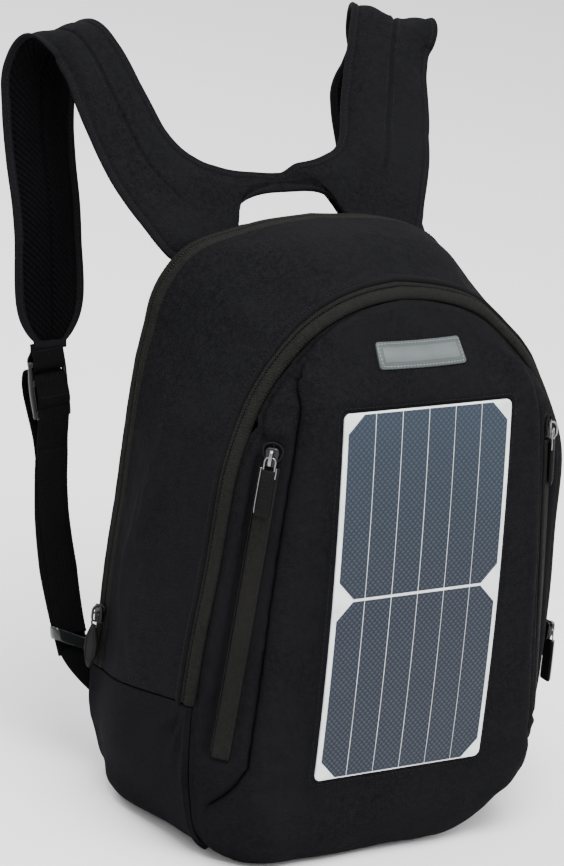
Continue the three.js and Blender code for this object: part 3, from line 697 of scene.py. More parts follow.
# slack folds at the pocket's foot, fanning out from the end of the seam
fx, fz = np.abs(X) - 120, Z - 52
ang = np.arctan2(fz, fx)
rad = np.hypot(fx, fz)
disp += 0.8 * np.sin(ang * 5.0 + 1.2) * np.exp(-((rad - 24) / 16) ** 2) * smooth((86 - Z) / 30)
disp += 0.8 * fbm(FR / [40, 30, 13] + 40, 2) * smooth((40 - Z) / 30)
rim = np.abs(X) - R_BAND.width(np.clip(Z, -9.6, 400))
near_zip = np.exp(-((dz - 0.5) / 8.6) ** 6) * smooth((293 - Z) / 4) * smooth((Z - 66) / 4)
disp = disp * (1 - near_zip) - 1.2 * near_zip - 2.6 * np.exp(-((dz - 7.2) / 1.2) ** 2) * smooth((284 - Z) / 4) * smooth((Z - 70) / 3) * near_zip
disp *= smooth(-rim / 4.0)
disp -= 3.2 * np.exp(-((rim + 1.2) / 1.9) ** 2) * smooth((Z - 96) / 14) + 1.3 * np.exp(-((rim + 1.2) / 1.6) ** 2) * smooth((104 - Z) / 10) * smooth((Z + 4) / 12)
FR2 = FR + FN * disp[..., None]
FR2[..., 2] = np.maximum(FR2[..., 2], -9.8)
front = make("front_pocket_skin", FR2.reshape(-1, 3), grid_faces(*FR.shape[:2]), [SHELL])
set_uv(front, arc_uv(FR))

# back wall, from the base to the crown
bp = []
for zz in np.linspace(-6, 388, 22):
    w = float(R_BACK.width(zz))
    for f_, y in ((1.0, 77), (0.985, 82), (0.95, 86), (0.86, 88), (0.6, 88.4), (0.3, 88.5), (0.0, 88.5)):
        bp += [[w * f_, y, zz], [-w * f_, y, zz]] if f_ else [[0, y, zz]]
crown = R_BACK.at(np.linspace(0.72, 1, 16))
for w, y, z in crown:
    bp += [[w, 77, z], [-w, 77, z], [w * 0.985, 83, z - 3], [-w * 0.985, 83, z - 3]]
bp = np.array(bp)
back_field = tps(bp[:, [0, 2]], bp[:, 1], 1.0)
zb_top = float(R_BACK.line[-1, 1]) + 0.2
zs = zb_top - (zb_top + 8.5) * (1 - np.linspace(0, 1, 120)) ** 1.4
B = slice_rows(zs, lambda z: float(R_BACK.width(max(z, -9))) + 0.2, 110, 0.8)
BR = np.stack([B[..., 0], np.clip(back_field(B.reshape(-1, 2)).reshape(B.shape[:2]), 75, 89), B[..., 1]], -1)
BR[..., 1] += 0.5 * fbm(BR / [40, 30, 50] + 20, 2)
back = make("back_wall_skin", BR.reshape(-1, 3), grid_faces(*BR.shape[:2]), [SHELL])
set_uv(back, arc_uv(BR))

# base: wraps under the bag, up to the seams
def base_grid(vs, limit, nq):
    A = np.linspace(0, 1, 4000)
    rows = []
    pts_all = [r.at(A) for r in (R_BACK, R_ZIP, R_MID, R_PIPE, R_BAND, R_SEAM)]
    for v in vs:
        P = hermite(v, pts_all)
        a0 = A[np.argmax(P[:, 2] > limit(P[:, 1]) - 0.35)]
        a = np.linspace(0, a0, nq // 2 + 1)
        h = np.stack([np.interp(a, A, P[:, k]) for k in range(3)], 1)
        rows.append(np.vstack([(h * [-1, 1, 1])[::-1], h[1:]]))
    return np.array(rows)


BG = base_grid(np.linspace(-0.0, 3.985, 90), seam_height, 190)
BG[..., 2] = np.maximum(BG[..., 2], -9.7)
BN = grid_normals(BG)
if BN[:, 95, 2].mean() > 0:
    BN = -BN
bq = np.linspace(0, 1, BG.shape[1])[None, :]
bv = np.linspace(0, 1, BG.shape[0])[:, None]
bedge = smooth(np.minimum(bq, 1 - bq) * 20) * smooth(np.minimum(bv, 1 - bv) * 12)
side_part = smooth((BG[..., 2] + 4) / 12)
pull = fbm(np.stack([BG[..., 1] / 60, BG[..., 2] / 12 + BG[..., 1] / 26, BG[..., 0] * 0 + np.sign(BG[..., 0])], -1), 2)
# creases fan down and back from the end of the piping, on both sides
cy_, cz_ = BG[..., 1] + 57, BG[..., 2] - 99
rr, th_ = np.hypot(cy_, cz_), np.arctan2(cy_, -cz_)
fan = 0
for a0, amp, r0, wr, wa_ in ((0.50, -2.0, 19, 12, 0.085), (0.28, 1.1, 26, 16, 0.10), (0.82, 1.2, 30, 18, 0.13), (1.08, -0.9, 40, 18, 0.10), (0.08, -0.9, 30, 16, 0.07)):
    fan = fan + amp * np.exp(-((th_ - a0) / wa_) ** 2) * np.exp(-((rr - r0) / wr) ** 2)
rim_b = smooth(np.minimum(np.minimum(bq, 1 - bq) * 60, np.minimum(bv, 1 - bv) * 60))
sagg = 1.6 * np.exp(-((BG[..., 2] - 40) / 26) ** 2) * bedge * (np.abs(BG[..., 0]) > 60)
BG2 = BG + BN * (((0.4 * fbm(BG / 40 + 60, 2) + 0.7 * pull) * bedge + sagg) * side_part + fan * rim_b)[..., None]
base = make("base_skin", BG2.reshape(-1, 3), grid_faces(*BG.shape[:2]), [BASE])
set_uv(base, arc_uv(BG))

# underside of the front pocket, tucked behind its lip
BF = base_grid(np.linspace(3.8, 4.95, 16), lambda y: 0 * y - 4.0, 120)
BF[..., 2] = np.maximum(BF[..., 2], -9.7)
under = make("pocket_bottom_skin", BF.reshape(-1, 3), grid_faces(*BF.shape[:2]), [BASE])
set_uv(under, arc_uv(BF))


# ------------------------------------------------------------------ swept pieces
def unit(v):
    v = np.asarray(v, float)
    return v / np.maximum(np.linalg.norm(v, axis=-1, keepdims=True), 1e-9)


def frames(path, nrm):
    t = unit(np.gradient(path, axis=0))
    s = unit(np.cross(t, nrm))
    return t, s, unit(np.cross(s, t))


def sweep(path, nrm, profile, caps=True):
    """Closed profile, (k,2) or (n,k,2) in (side, normal), carried along a path: verts, faces, uvs."""
    path = np.asarray(path, float)
    nrm = np.broadcast_to(np.asarray(nrm, float), path.shape)
    t, s, n = frames(path, nrm)
    pr = np.asarray(profile, float)
    if pr.ndim == 2:
        pr = np.broadcast_to(pr, (len(path), *pr.shape))
    V = path[:, None] + s[:, None] * pr[..., :1] + n[:, None] * pr[..., 1:]
    k = pr.shape[1]
    F = grid_faces(len(path), k, closed=True)
    L = np.concatenate([[0], np.cumsum(np.linalg.norm(np.diff(path, axis=0), axis=1))])
    U = np.concatenate([np.zeros((len(path), 1)), np.cumsum(np.linalg.norm(np.diff(pr, axis=1), axis=-1), axis=1)], 1)
    uv = np.stack([U, np.broadcast_to(L[:, None], U.shape)], -1).reshape(-1, 2) * MM
    if caps:
        F = F + [tuple(range(k))[::-1], tuple(range((len(path) - 1) * k, len(path) * k))]
    return V.reshape(-1, 3), F, uv


def circle(r, k=12, squash=1.0):
    a = np.linspace(0, 2 * math.pi, k, endpoint=False)
    return np.stack([np.cos(a) * r, np.sin(a) * r * squash], 1)


def rbox(w, h, r, k=4):
    """Rounded rectangle profile w by h centred on 0."""
    r = min(r, w / 2 - 1e-3, h / 2 - 1e-3)
    out = []
    for cx, cy, a0 in ((1, 1, 0), (-1, 1, 90), (-1, -1, 180), (1, -1, 270)):
        for j in range(k + 1):
            a = math.radians(a0 + 90 * j / k)
            out.append([cx * (w / 2 - r) + r * math.cos(a), cy * (h / 2 - r) + r * math.sin(a)])
    return np.array(out)


def stitches(path, nrm, pitch=3.4, length=2.4, r=0.3, lift=0.15):
    """A run of thread stitches lying on a surface."""
    path = np.asarray(path, float)
    L = np.concatenate([[0], np.cumsum(np.linalg.norm(np.diff(path, axis=0), axis=1))])
    n = max(2, int(L[-1] / pitch))
    at = (np.arange(n) + 0.5) * L[-1] / n
    nrm = np.broadcast_to(np.asarray(nrm, float), path.shape)
    c = np.stack([np.interp(at, L, path[:, k]) for k in range(3)], 1)
    e = np.stack([np.interp(at + 0.5, L, path[:, k]) for k in range(3)], 1) - np.stack([np.interp(at - 0.5, L, path[:, k]) for k in range(3)], 1)
    t = unit(e)
    m = unit(np.stack([np.interp(at, L, nrm[:, k]) for k in range(3)], 1))
    s = unit(np.cross(t, m))
    V = []
    for u, rr, h in ((-0.5, 0.4, -0.25), (-0.28, 1, 0), (0.28, 1, 0), (0.5, 0.4, -0.25)):
        for j in range(5):
            a = 2 * math.pi * j / 5
            V.append(c + t * u * length + s * rr * r * math.cos(a) + m * (rr * r * math.sin(a) + lift + h))
    V = np.stack(V, 1).reshape(-1, 3)
    F = []
    for i in range(n):
        b = i * 20
        F += [tuple(b + x for x in f) for f in grid_faces(4, 5, closed=True)]
        F += [tuple(b + j for j in range(5))[::-1], tuple(b + 15 + j for j in range(5))]
    return V, F, np.zeros((len(V), 2))


def slab(c, ax, size, r=0.6, bev=0.35, k=4):
    """Box with rounded corners in plan (ax[0], ax[1]) and bevelled faces, thickness along ax[2]."""
    c, ax = np.asarray(c, float), [unit(a) for a in ax]
    w, h, t = size
    V, rows = [], []
    for z, inset in ((-t / 2, bev), (-t / 2 + bev, 0), (t / 2 - bev, 0), (t / 2, bev)):
        p = rbox(w - 2 * inset, h - 2 * inset, max(r - inset, 0.05), k)
        V.append(c + ax[0] * p[:, :1] + ax[1] * p[:, 1:] + ax[2] * z)
    n = len(p)
    F = grid_faces(4, n, closed=True) + [tuple(range(n))[::-1], tuple(range(3 * n, 4 * n))]
    V = np.vstack(V)
    return V, F, (V[:, :2] * MM)


def ribbon(path, nrm, prof, **kw):
    return sweep(path, nrm, prof, **kw)


def assemble(name, parts, mats, smooth_shade=True):
    """parts: (verts, faces, uvs, material index)."""
    V, F, U, M, o = [], [], [], [], 0
    for v, f, u, m in parts:
        V.append(np.asarray(v, float))
        U.append(np.asarray(u, float).reshape(-1, 2))
        F += [tuple(int(x) + o for x in q) for q in f]
        M += [m] * len(f)
        o += len(v)
    ob = make(name, np.vstack(V), F, mats, smooth_shade=smooth_shade)
    ob.data.polygons.foreach_set("material_index", M)
    set_uv(ob, np.vstack(U))
    bm = bmesh.new()
    bm.from_mesh(ob.data)
    bmesh.ops.recalc_face_normals(bm, faces=bm.faces)
    bm.to_mesh(ob.data)
    bm.free()
    return ob


def ride(ob, body, slot_name, *nodes):
    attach(ob, body)
    if nodes:
        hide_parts(*nodes)
    return ob


def both(path):
    """Half line on the left, mirrored on to the right, as one run over the crown."""
    return np.vstack([path * [-1, 1, 1], path[::-1][1:]])


def ring_run(ring, z0, n=160):
    a = np.linspace(ring.frac(z0), 1, n)
    return both(ring.at(a))


def arch(rows):
    """Surface between stacked runs: rows (m, n, 3) as a strip with thickness, verts, faces, uvs."""
    P = np.asarray(rows, float)
    N_ = grid_normals(P)
    mid = P.mean(axis=(0, 1))
    if (N_ * (P - mid)).sum(-1).mean() < 0:
        N_ = -N_
    back_ = P - N_ * 1.2
    m, n = P.shape[:2]
    V = np.vstack([P.reshape(-1, 3), back_.reshape(-1, 3)])
    F = grid_faces(m, n) + [tuple(x + m * n for x in f)[::-1] for f in grid_faces(m, n)]
    for c in range(n - 1):
        F.append((c + 1, c, c + m * n, c + 1 + m * n))
        b = (m - 1) * n
        F.append((b + c, b + c + 1, b + c + 1 + m * n, b + c + m * n))
    for r in range(m - 1):
        F.append((r * n, (r + 1) * n, (r + 1) * n + m * n, r * n + m * n))
        e = r * n + n - 1
        F.append((e + n, e, e + m * n, e + n + m * n))
    uv = arc_uv(P)
    return V, F, np.vstack([uv, uv])


def coil(path, nrm, pitch=1.9, side=0.9, r=0.42):
    """Two rows of zip coil either side of a line."""
    out = []
    t, s, n = frames(np.asarray(path, float), np.broadcast_to(nrm, np.shape(path)))
    for sg in (-1, 1):
        V, F, U = stitches(path + s * sg * side * 0.55, n, pitch, pitch * 0.72, r, 0.2)
        out.append((V, F, U))
    return out


# ------------------------------------------------------------------ zip bands and piping
Z_END = 103.6
aa = np.linspace(R_PIPE.frac(Z_END), 1, 170)
PIPE_L = R_PIPE.at(aa)
BAND_L = np.stack([np.interp(np.linspace(0, 1, 170), np.linspace(0, 1, 170), R_BAND.at(np.linspace(R_BAND.frac(Z_END), 1, 170))[:, k]) for k in range(3)], 1)
PIPE_R, BAND_R = both(PIPE_L), both(BAND_L)
mid_y = np.array([0, -20, 210.0])
out_dir = unit((PIPE_R + BAND_R) / 2 - mid_y)
across = unit(BAND_R - PIPE_R)
along = unit(np.gradient(PIPE_R, axis=0))
band_n = unit(np.cross(across, along))
band_n *= np.sign((band_n * out_dir).sum(-1, keepdims=True))


def band_rows(ss, hs):
    return [PIPE_R + (BAND_R - PIPE_R) * s + band_n * h for s, h in zip(ss, hs)]


wob = (fbm(PIPE_R / 34 + 70, 2) * 0.35)[:, None] * band_n
rowsA = np.array(band_rows([0.02, 0.07, 0.14, 0.22, 0.28, 0.305, 0.312], [-0.6, 0.7, 1.2, 1.3, 1.1, 0.6, -0.8])) + wob
rowsB = np.array(band_rows([0.352, 0.36, 0.39, 0.46, 0.56, 0.66, 0.76, 0.86, 0.94, 1.0], [-0.8, 0.7, 1.35, 1.9, 2.25, 2.3, 2.0, 1.2, -0.2, -2.4])) + wob
pB = [arch(rowsA)]
coil_line = (PIPE_R + (BAND_R - PIPE_R) * 0.332) + band_n * -0.35
stA = stitches(np.array(band_rows([0.2], [1.3])[0]) + wob, band_n, 3.2, 2.2, 0.24, 0.05)
stB = stitches(np.array(band_rows([0.43], [1.75])[0]) + wob, band_n, 3.2, 2.2, 0.24, 0.05)
bandA = assemble("front_zip_tape_back", [(*pB[0], 0), (*stA, 1)] + [(*c, 2) for c in coil(coil_line, band_n)[:1]], [BAND, THREAD, TEETH])
ride(bandA, "pack", "zip_tape", "front_zip_back_tape")
bandB = assemble("front_zip_tape_front", [(*arch(rowsB), 0), (*stB, 1)] + [(*c, 2) for c in coil(coil_line, band_n)[1:]], [BAND, THREAD, TEETH])
ride(bandB, "front_flap", "zip_tape", "front_zip_front_tape")

# round piping along the gusset's front edge, tucked into the base seam at its ends
core = PIPE_R + band_n * 0.5 - across * 0.9
tuck = []
for sg in (-1, 1):
    e = core[0] if sg < 0 else core[-1]
    tuck.append(np.array([e + [-sg * q * 2.2, q * 1.6, -q * 6.0] for q in (1.0, 0.66, 0.33)]))
line = np.vstack([tuck[0], core, tuck[1][::-1]])
prof = np.array([circle(2.3 * (1 + 0.03 * math.sin(i * 0.7)), 14) for i in range(len(line))])
prof[:3] *= np.array([0.35, 0.7, 0.92])[:, None, None]
prof[-3:] *= np.array([0.92, 0.7, 0.35])[:, None, None]
nline = np.vstack([band_n[:1]] * 3 + [band_n] + [band_n[-1:]] * 3)
pipe_stitch = stitches(PIPE_R - across * 4.4 + band_n * 0.25, band_n, 3.2, 2.2, 0.24, 0.0)
piping = assemble("front_piping", [(*sweep(line, nline, prof), 0), (*pipe_stitch, 1)], [BINDING, THREAD])
ride(piping, "pack", "zip_tape", "outer_piping")

# main zip between the gusset and the back wall
A_ = np.linspace(0, 1, 500)


def main_run(v, lift, n=190):
    P = body_rows(v, 0, A_)
    a0 = A_[np.argmax(P[:, 2] > seam_height(P[:, 1]) + 0.4)]
    h = np.stack([np.interp(np.linspace(a0, 1, n), A_, P[:, k]) for k in range(3)], 1)
    g = body_rows(v + 0.05, 0, A_)
    g = np.stack([np.interp(np.linspace(a0, 1, n), A_, g[:, k]) for k in range(3)], 1)
    b = both(h)
    nn = unit(np.cross(unit(both(g) - b), unit(np.gradient(b, axis=0))))
    nn *= np.sign((nn * unit(b - [0, 20, 200.0])).sum(-1, keepdims=True))
    return b + nn * lift, nn


def main_strip(vs, hs):
    return np.array([main_run(v, h)[0] for v, h in zip(vs, hs)])


front_strip = main_strip([1.14, 1.06, 0.98, 0.9, 0.865, 0.86], [-0.5, 0.55, 0.8, 0.7, 0.3, -0.9])
back_strip = main_strip([0.81, 0.805, 0.77, 0.62, 0.45, 0.33], [-0.9, 0.3, 0.75, 0.8, 0.55, -0.4])
zl, zn = main_run(0.835, -0.7)
cs = coil(zl, zn)
s1 = stitches(main_run(0.97, 0.8)[0], zn, 3.2, 2.2, 0.24, 0.05)
s2 = stitches(main_run(0.66, 0.8)[0], zn, 3.2, 2.2, 0.24, 0.05)
mzf = assemble("main_zip_tape_front", [(*arch(front_strip), 0), (*s1, 1), (*cs[0], 2)], [BAND, THREAD, TEETH])
mzb = assemble("main_zip_tape_back", [(*arch(back_strip), 0), (*s2, 1), (*cs[1], 2)], [BAND, THREAD, TEETH])
ride(mzf, "pack", "zip_tape", "main_zip_front_tape")
ride(mzb, "back_flap", "zip_tape", "main_zip_back_tape")


# ------------------------------------------------------------------ yoke and shoulder straps
CA, SA = math.cos(math.radians(42)), math.sin(math.radians(42))
NECK = [[0, 35.5], [12, 35.8], [24, 36.8], [36, 38.8], [46, 42], [55, 46], [63, 55.5], [69, 73.5]]
HANDLE = [[0, 20.5], [11, 20.2], [22, 18.2], [33, 13.5], [41, 6], [46, -6], [49, -18], [56, -26], [70, -28.5], [90, -29], [103, -27], [110, -17], [116, -3], [123.5, 14], [130, 32], [135, 52.5]]
STRAP_LINE = [[101, 145.17, 439.16], [110, 162, 461], [120, 180, 478], [132, 197, 488], [142, 209, 484], [148, 213, 466], [150, 207, 440], [152, 193, 411], [153, 177, 380], [155, 159, 332], [155, 150.5, 296], [155, 148.6, 288]]
S_WIDTH = np.array([[0, 68], [0.25, 65], [0.5, 61], [0.8, 57], [0.93, 54], [1, 50]])


def plane(xv):
    xv = np.asarray(xv, float)
    return np.stack([xv[..., 0], 100 + xv[..., 1] * SA, 389 + xv[..., 1] * CA], -1)


E_FIX = np.array([0, 0.35, 1.0, 2.4, 4.2, 5.4, 6.0, 6.4, 6.9, 7.8, 9.4, 11.6, 14.2])
C_FIX = np.array([5.0, 2.6, 1.5, 0.8, 0.0])


def strap_section(w):
    """Side positions across a strap w wide and their distance from the edge."""
    half = w / 2
    mid = np.linspace(14.2, half - 5.0, 7)[1:-1]
    e = np.concatenate([E_FIX, mid, half - C_FIX])
    x = half - e
    return np.concatenate([-x, x[::-1][1:]]), np.concatenate([e, e[::-1][1:]])


def pad_profile(e, full, bound=1.7):
    edge_ = bound * np.sqrt(np.clip(1 - (1 - np.clip(e / 1.6, 0, 1)) ** 2, 0, 1))
    rise = (full - bound) * np.sin(np.clip((e - 6.2) / 12.5, 0, 1) * math.pi / 2) ** 0.85
    return edge_ + rise - 0.7 * np.exp(-((e - 6.3) / 0.45) ** 2)


def strap_rows():
    ny, ns = 86, 250
    A = resample(catmull(NECK), ny)
    B = resample(catmull(HANDLE), ny)
    Ap, Bp = plane(A), plane(B)
    C = (Ap + Bp) / 2
    ac = Bp - Ap
    wid = np.linalg.norm(ac, axis=1)
    ac = ac / wid[:, None]
    nn = np.broadcast_to([0, -CA, SA], ac.shape)
    line = resample(catmull(STRAP_LINE), ns)
    t = np.linspace(0, 1, ns)
    tan = unit(np.gradient(line, axis=0))
    tilt = -0.25 * np.sin(np.minimum(1, t * 2) * math.pi)
    a2 = np.stack([np.ones(ns), np.zeros(ns), tilt], 1)
    a2 = unit(a2 - tan * (a2 * tan).sum(1, keepdims=True))
    w2 = np.interp(t, S_WIDTH[:, 0], S_WIDTH[:, 1])
    # the strap leaves the yoke in the yoke's own plane and turns into its own
    k = smooth(t / 0.16)[:, None]
    a2 = unit(ac[-1] * (1 - k) + a2 * k)
    a2 = unit(a2 - tan * (a2 * tan).sum(1, keepdims=True))
    n2 = unit(np.cross(a2, tan))
    w2 = wid[-1] * (1 - k[:, 0]) + w2 * k[:, 0]
    off = C[-1] + [0, 0, 0]
    line = line + (off - line[0]) * (1 - smooth(t / 0.14))[:, None]
    L = np.concatenate([[0], np.cumsum(np.linalg.norm(np.diff(line, axis=0), axis=1))])
    to_end = L[-1] - L
    u = np.clip(1 - to_end / 40.0, 0, 1)
    w2 = w2 * np.sqrt(np.clip(1 - u ** 2.2, 0, 1))
    w2 = np.maximum(w2, 26.0)
    end_y = np.full(ny, 999.0)
    yoke_len = np.concatenate([[0], np.cumsum(np.linalg.norm(np.diff(C, axis=0), axis=1))])
    full = np.concatenate([3.6 + 1.4 * smooth(np.linspace(0, 1, ny) * 1.3), 5.6 + 0.4 * np.ones(ns)])
    full[ny:] = np.interp(t, [0, 0.12, 1], [5.0, 6.0, 6.0])
    cs_ = np.concatenate([C, line[1:]])
    return (cs_, np.concatenate([ac, a2[1:]]), unit(np.concatenate([nn, n2[1:]])),
            np.concatenate([wid, w2[1:]]), np.concatenate([end_y, to_end[1:]]), np.delete(full, ny),
            np.concatenate([yoke_len, yoke_len[-1] + L[1:]]), ny)


SC, SA_, SN, SW, SE, SF, SL, NY = strap_rows()


APEX = int(np.argmax(SC[:, 2]))


def slim(i, side):
    """The left strap is drawn narrower as it climbs."""
    up = smooth((SL[i] - (SL[NY] - 60)) / 70) * smooth((SL[APEX] + 45 - SL[i]) / 50)
    near = smooth((SL[i] - (SL[APEX] - 90)) / 70) * smooth((SL[APEX] + 45 - SL[i]) / 50)
    down = smooth((SL[i] - SL[APEX] - 10) / 50) * smooth((SL[-1] - 40 - SL[i]) / 40)
    if side < 0:
        return 1 - 0.10 * up - 0.10 * near - 0.07 * down
    return 1 + 0.08 * up



def hang(P, i, side):
    """Offsets that let each strap fall its own way; i is the section number."""
    i = np.asarray(i)
    L_, La, Lr, Le = SL[i], SL[APEX], SL[NY], SL[-1]
    up = smooth((L_ - (Lr - 70)) / 70) * smooth((La - L_) / 60)
    top = np.exp(-((L_ - La) / 52) ** 2)
    near = smooth((L_ - (La - 110)) / 80) * smooth((La + 40 - L_) / 60)
    down = smooth((L_ - La - 8) / 50) * smooth((Le - L_ - 6) / 110)
    yk = smooth((L_ - 4) / 30) * smooth((Lr + 20 - L_) / 60)
    if side < 0:
        d = np.stack([-7.5 * up - 4.0 * near + 0.5 * top + 0.9 * down - 2.6 * yk, 0 * up, 9.3 * top + 1.0 * yk], -1)
    else:
        d = np.stack([1.5 * up + 6.8 * top - 22.0 * down - 2.0 * yk, 0 * up, 12.5 * top + 6.0 * yk + 3.5 * up], -1)
    return P + (d if np.ndim(P) == np.ndim(d) else d[..., None, :])


def strap_object(side):
    V, U, M = [], [], []
    n = len(SC)
    for i in range(n):
        wi = max(SW[i], 2 * 14.2 + 11)
        x, e = strap_section(wi)
        k = SW[i] / wi * slim(i, side)
        x = x * k
        ee = np.minimum(e * k, SE[i] * 1.0 + 0.0)
        cut = 1 if i >= NY - 14 else smooth((i - (NY - 40)) / 26.0)
        groove = 1.7 * cut * np.exp(-(x / 1.25) ** 2)
        soft = 0.55 * fbm(np.stack([x / 26 + side * 9, 0 * x + SL[i] / 38, 0 * x + 5], -1), 2) * smooth((ee - 7) / 7)
        hi = pad_profile(ee, SF[i]) - groove * smooth((ee - 5) / 4) + soft
        lo = pad_profile(ee, SF[i] * 0.92) - groove * 0.7 * smooth((ee - 5) / 4) + soft * 0.5
        top = SC[i] + SA_[i] * x[:, None] + SN[i] * hi[:, None]
        bot = (SC[i] + SA_[i] * x[:, None] - SN[i] * lo[:, None])[::-1][1:-1]
        V.append(np.vstack([top, bot]))
        uu = np.concatenate([x, x[::-1][1:-1]])
        U.append(np.stack([uu, np.full(len(uu), SL[i])], 1) * MM)
        em = np.concatenate([ee, ee[::-1][1:-1]])
        M.append(em)
    nx = len(x)
    k = len(V[0])
    V = np.array(V)
    em = np.array(M)
    F, FM = [], []
    for r in range(n - 1):
        for c in range(k):
            c2 = (c + 1) % k
            F.append((r * k + c, r * k + c2, (r + 1) * k + c2, (r + 1) * k + c))
            bound = max(em[r, c], em[r, c2], em[r + 1, c]) <= 6.45
            FM.append(2 if bound else (0 if c < nx - 1 else 1))
    F += [tuple(range(k))[::-1], tuple((n - 1) * k + j for j in range(k))]
    FM += [2, 2]
    V = hang(V * [side, 1, 1], np.arange(n), side).reshape(-1, 3)
    ob = make(f"yoke_strap_{'left' if side < 0 else 'right'}", V, F, [SHELL, MESH3D, BINDING])
    ob.data.polygons.foreach_set("material_index", FM)
    set_uv(ob, np.array(U).reshape(-1, 2))
    bm = bmesh.new()
    bm.from_mesh(ob.data)
    bmesh.ops.recalc_face_normals(bm, faces=bm.faces)
    bm.to_mesh(ob.data)
    bm.free()
    pinw = np.clip(1.2 - smooth((em - 7) / 6), 0, 1)
    xs = np.array([np.abs(np.concatenate([strap_section(60)[0], strap_section(60)[0][::-1][1:-1]]))] * n)
    pinw = np.maximum(pinw, np.exp(-(xs / 2.5) ** 2))
    pinw[:2] = pinw[-2:] = 1
    soft_jobs.append((ob, np.round(pinw.ravel(), 1), 0.9, 0.004, 1.6))
    return ob


def strap_edge_run(sgn, e, i0, i1, side, face=1, lift=0.0):
    """Line e mm in from an edge on a strap face, with normals."""
    idx = np.arange(i0, i1)
    P = []
    for i in idx:
        x = sgn * max(SW[i] / 2 * slim(i, side) - e, 0)
        h = pad_profile(np.array([min(e, SE[i])]), SF[i] * (1 if face > 0 else 0.92))[0]
        P.append(SC[i] + SA_[i] * x + SN[i] * face * (h + lift))
    return hang(np.array(P) * [side, 1, 1], idx, side), SN[idx] * face * [side, 1, 1]


straps = {}
for side in (-1, 1):
    s = strap_object(side)
    straps[side] = s
    runs = []
    n = len(SC)
    for sgn in (-1, 1):
        for e in (3.9,):
            for face in (1, -1):
                P, Nn = strap_edge_run(sgn, e, 2, n - 12, side, face)
                runs.append((*stitches(P, Nn, 3.3, 2.3, 0.26, 0.02), 0))
    # two rows of lockstitch either side of the centre seam
    for x0 in (-3.2, 3.2):
        idx = np.arange(NY - 6, n - 26)
        P = SC[idx] + SA_[idx] * x0 + SN[idx] * (SF[idx] - 0.35)[:, None]
        runs.append((*stitches(hang(P * [side, 1, 1], idx, side), SN[idx] * [side, 1, 1], 3.3, 2.3, 0.24, 0.25), 0))
    st = assemble(f"strap_stitching_{'left' if side < 0 else 'right'}", runs, [THREAD])
    straps[side] = (s, st)


def finish_straps():
    for side, (s, st) in straps.items():
        w = "left" if side < 0 else "right"
        for ob in (s, st):
            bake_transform(ob)
        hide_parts(f"strap_pad_{w}")
    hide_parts("yoke")


# ------------------------------------------------------------------ solar laminate
PV_O = np.array([1.8, -92.8, 184.0])
PV_U = np.array([0, math.sin(math.radians(4)), math.cos(math.radians(4))])
PV_N = np.array([0, -math.cos(math.radians(4)), math.sin(math.radians(4))])
XA = np.array([1.0, 0, 0])


def pv(u, v, h):
    u, v, h = np.broadcast_arrays(u, v, h)
    return PV_O + u[..., None] * XA + v[..., None] * PV_U + h[..., None] * PV_N


def prism(poly, h0, h1, bev=0.15):
    """Polygon in (u, v) raised from h0 to h1 with a small chamfer."""
    p = np.asarray(poly, float)
    c = p.mean(axis=0)
    q = c + (p - c) * (1 - bev / np.maximum(np.linalg.norm(p - c, axis=1, keepdims=True), 1e-6))
    k = len(p)
    V = np.vstack([pv(p[:, 0], p[:, 1], h0), pv(p[:, 0], p[:, 1], h1 - bev * 0.6), pv(q[:, 0], q[:, 1], h1)])
    F = grid_faces(3, k, closed=True) + [tuple(range(k))[::-1], tuple(range(2 * k, 3 * k))]
    return V, F, np.vstack([p, p, q]) * MM


def clip_poly(poly, a, b, c):
    """Keep the part of a polygon where a*u + b*v <= c."""
    out = []
    for i in range(len(poly)):
        p, q = poly[i], poly[(i + 1) % len(poly)]
        dp, dq = a * p[0] + b * p[1] - c, a * q[0] + b * q[1] - c
        if dp <= 0:
            out.append(p)
        if (dp < 0 < dq) or (dq < 0 < dp):
            t = dp / (dp - dq)
            out.append([p[0] + (q[0] - p[0]) * t, p[1] + (q[1] - p[1]) * t])
    return out


def white_mat():
    m = plastic("backsheet_white", (0.72, 0.74, 0.75), rough=0.38, grain=0.12, coat=0.35)
    return m


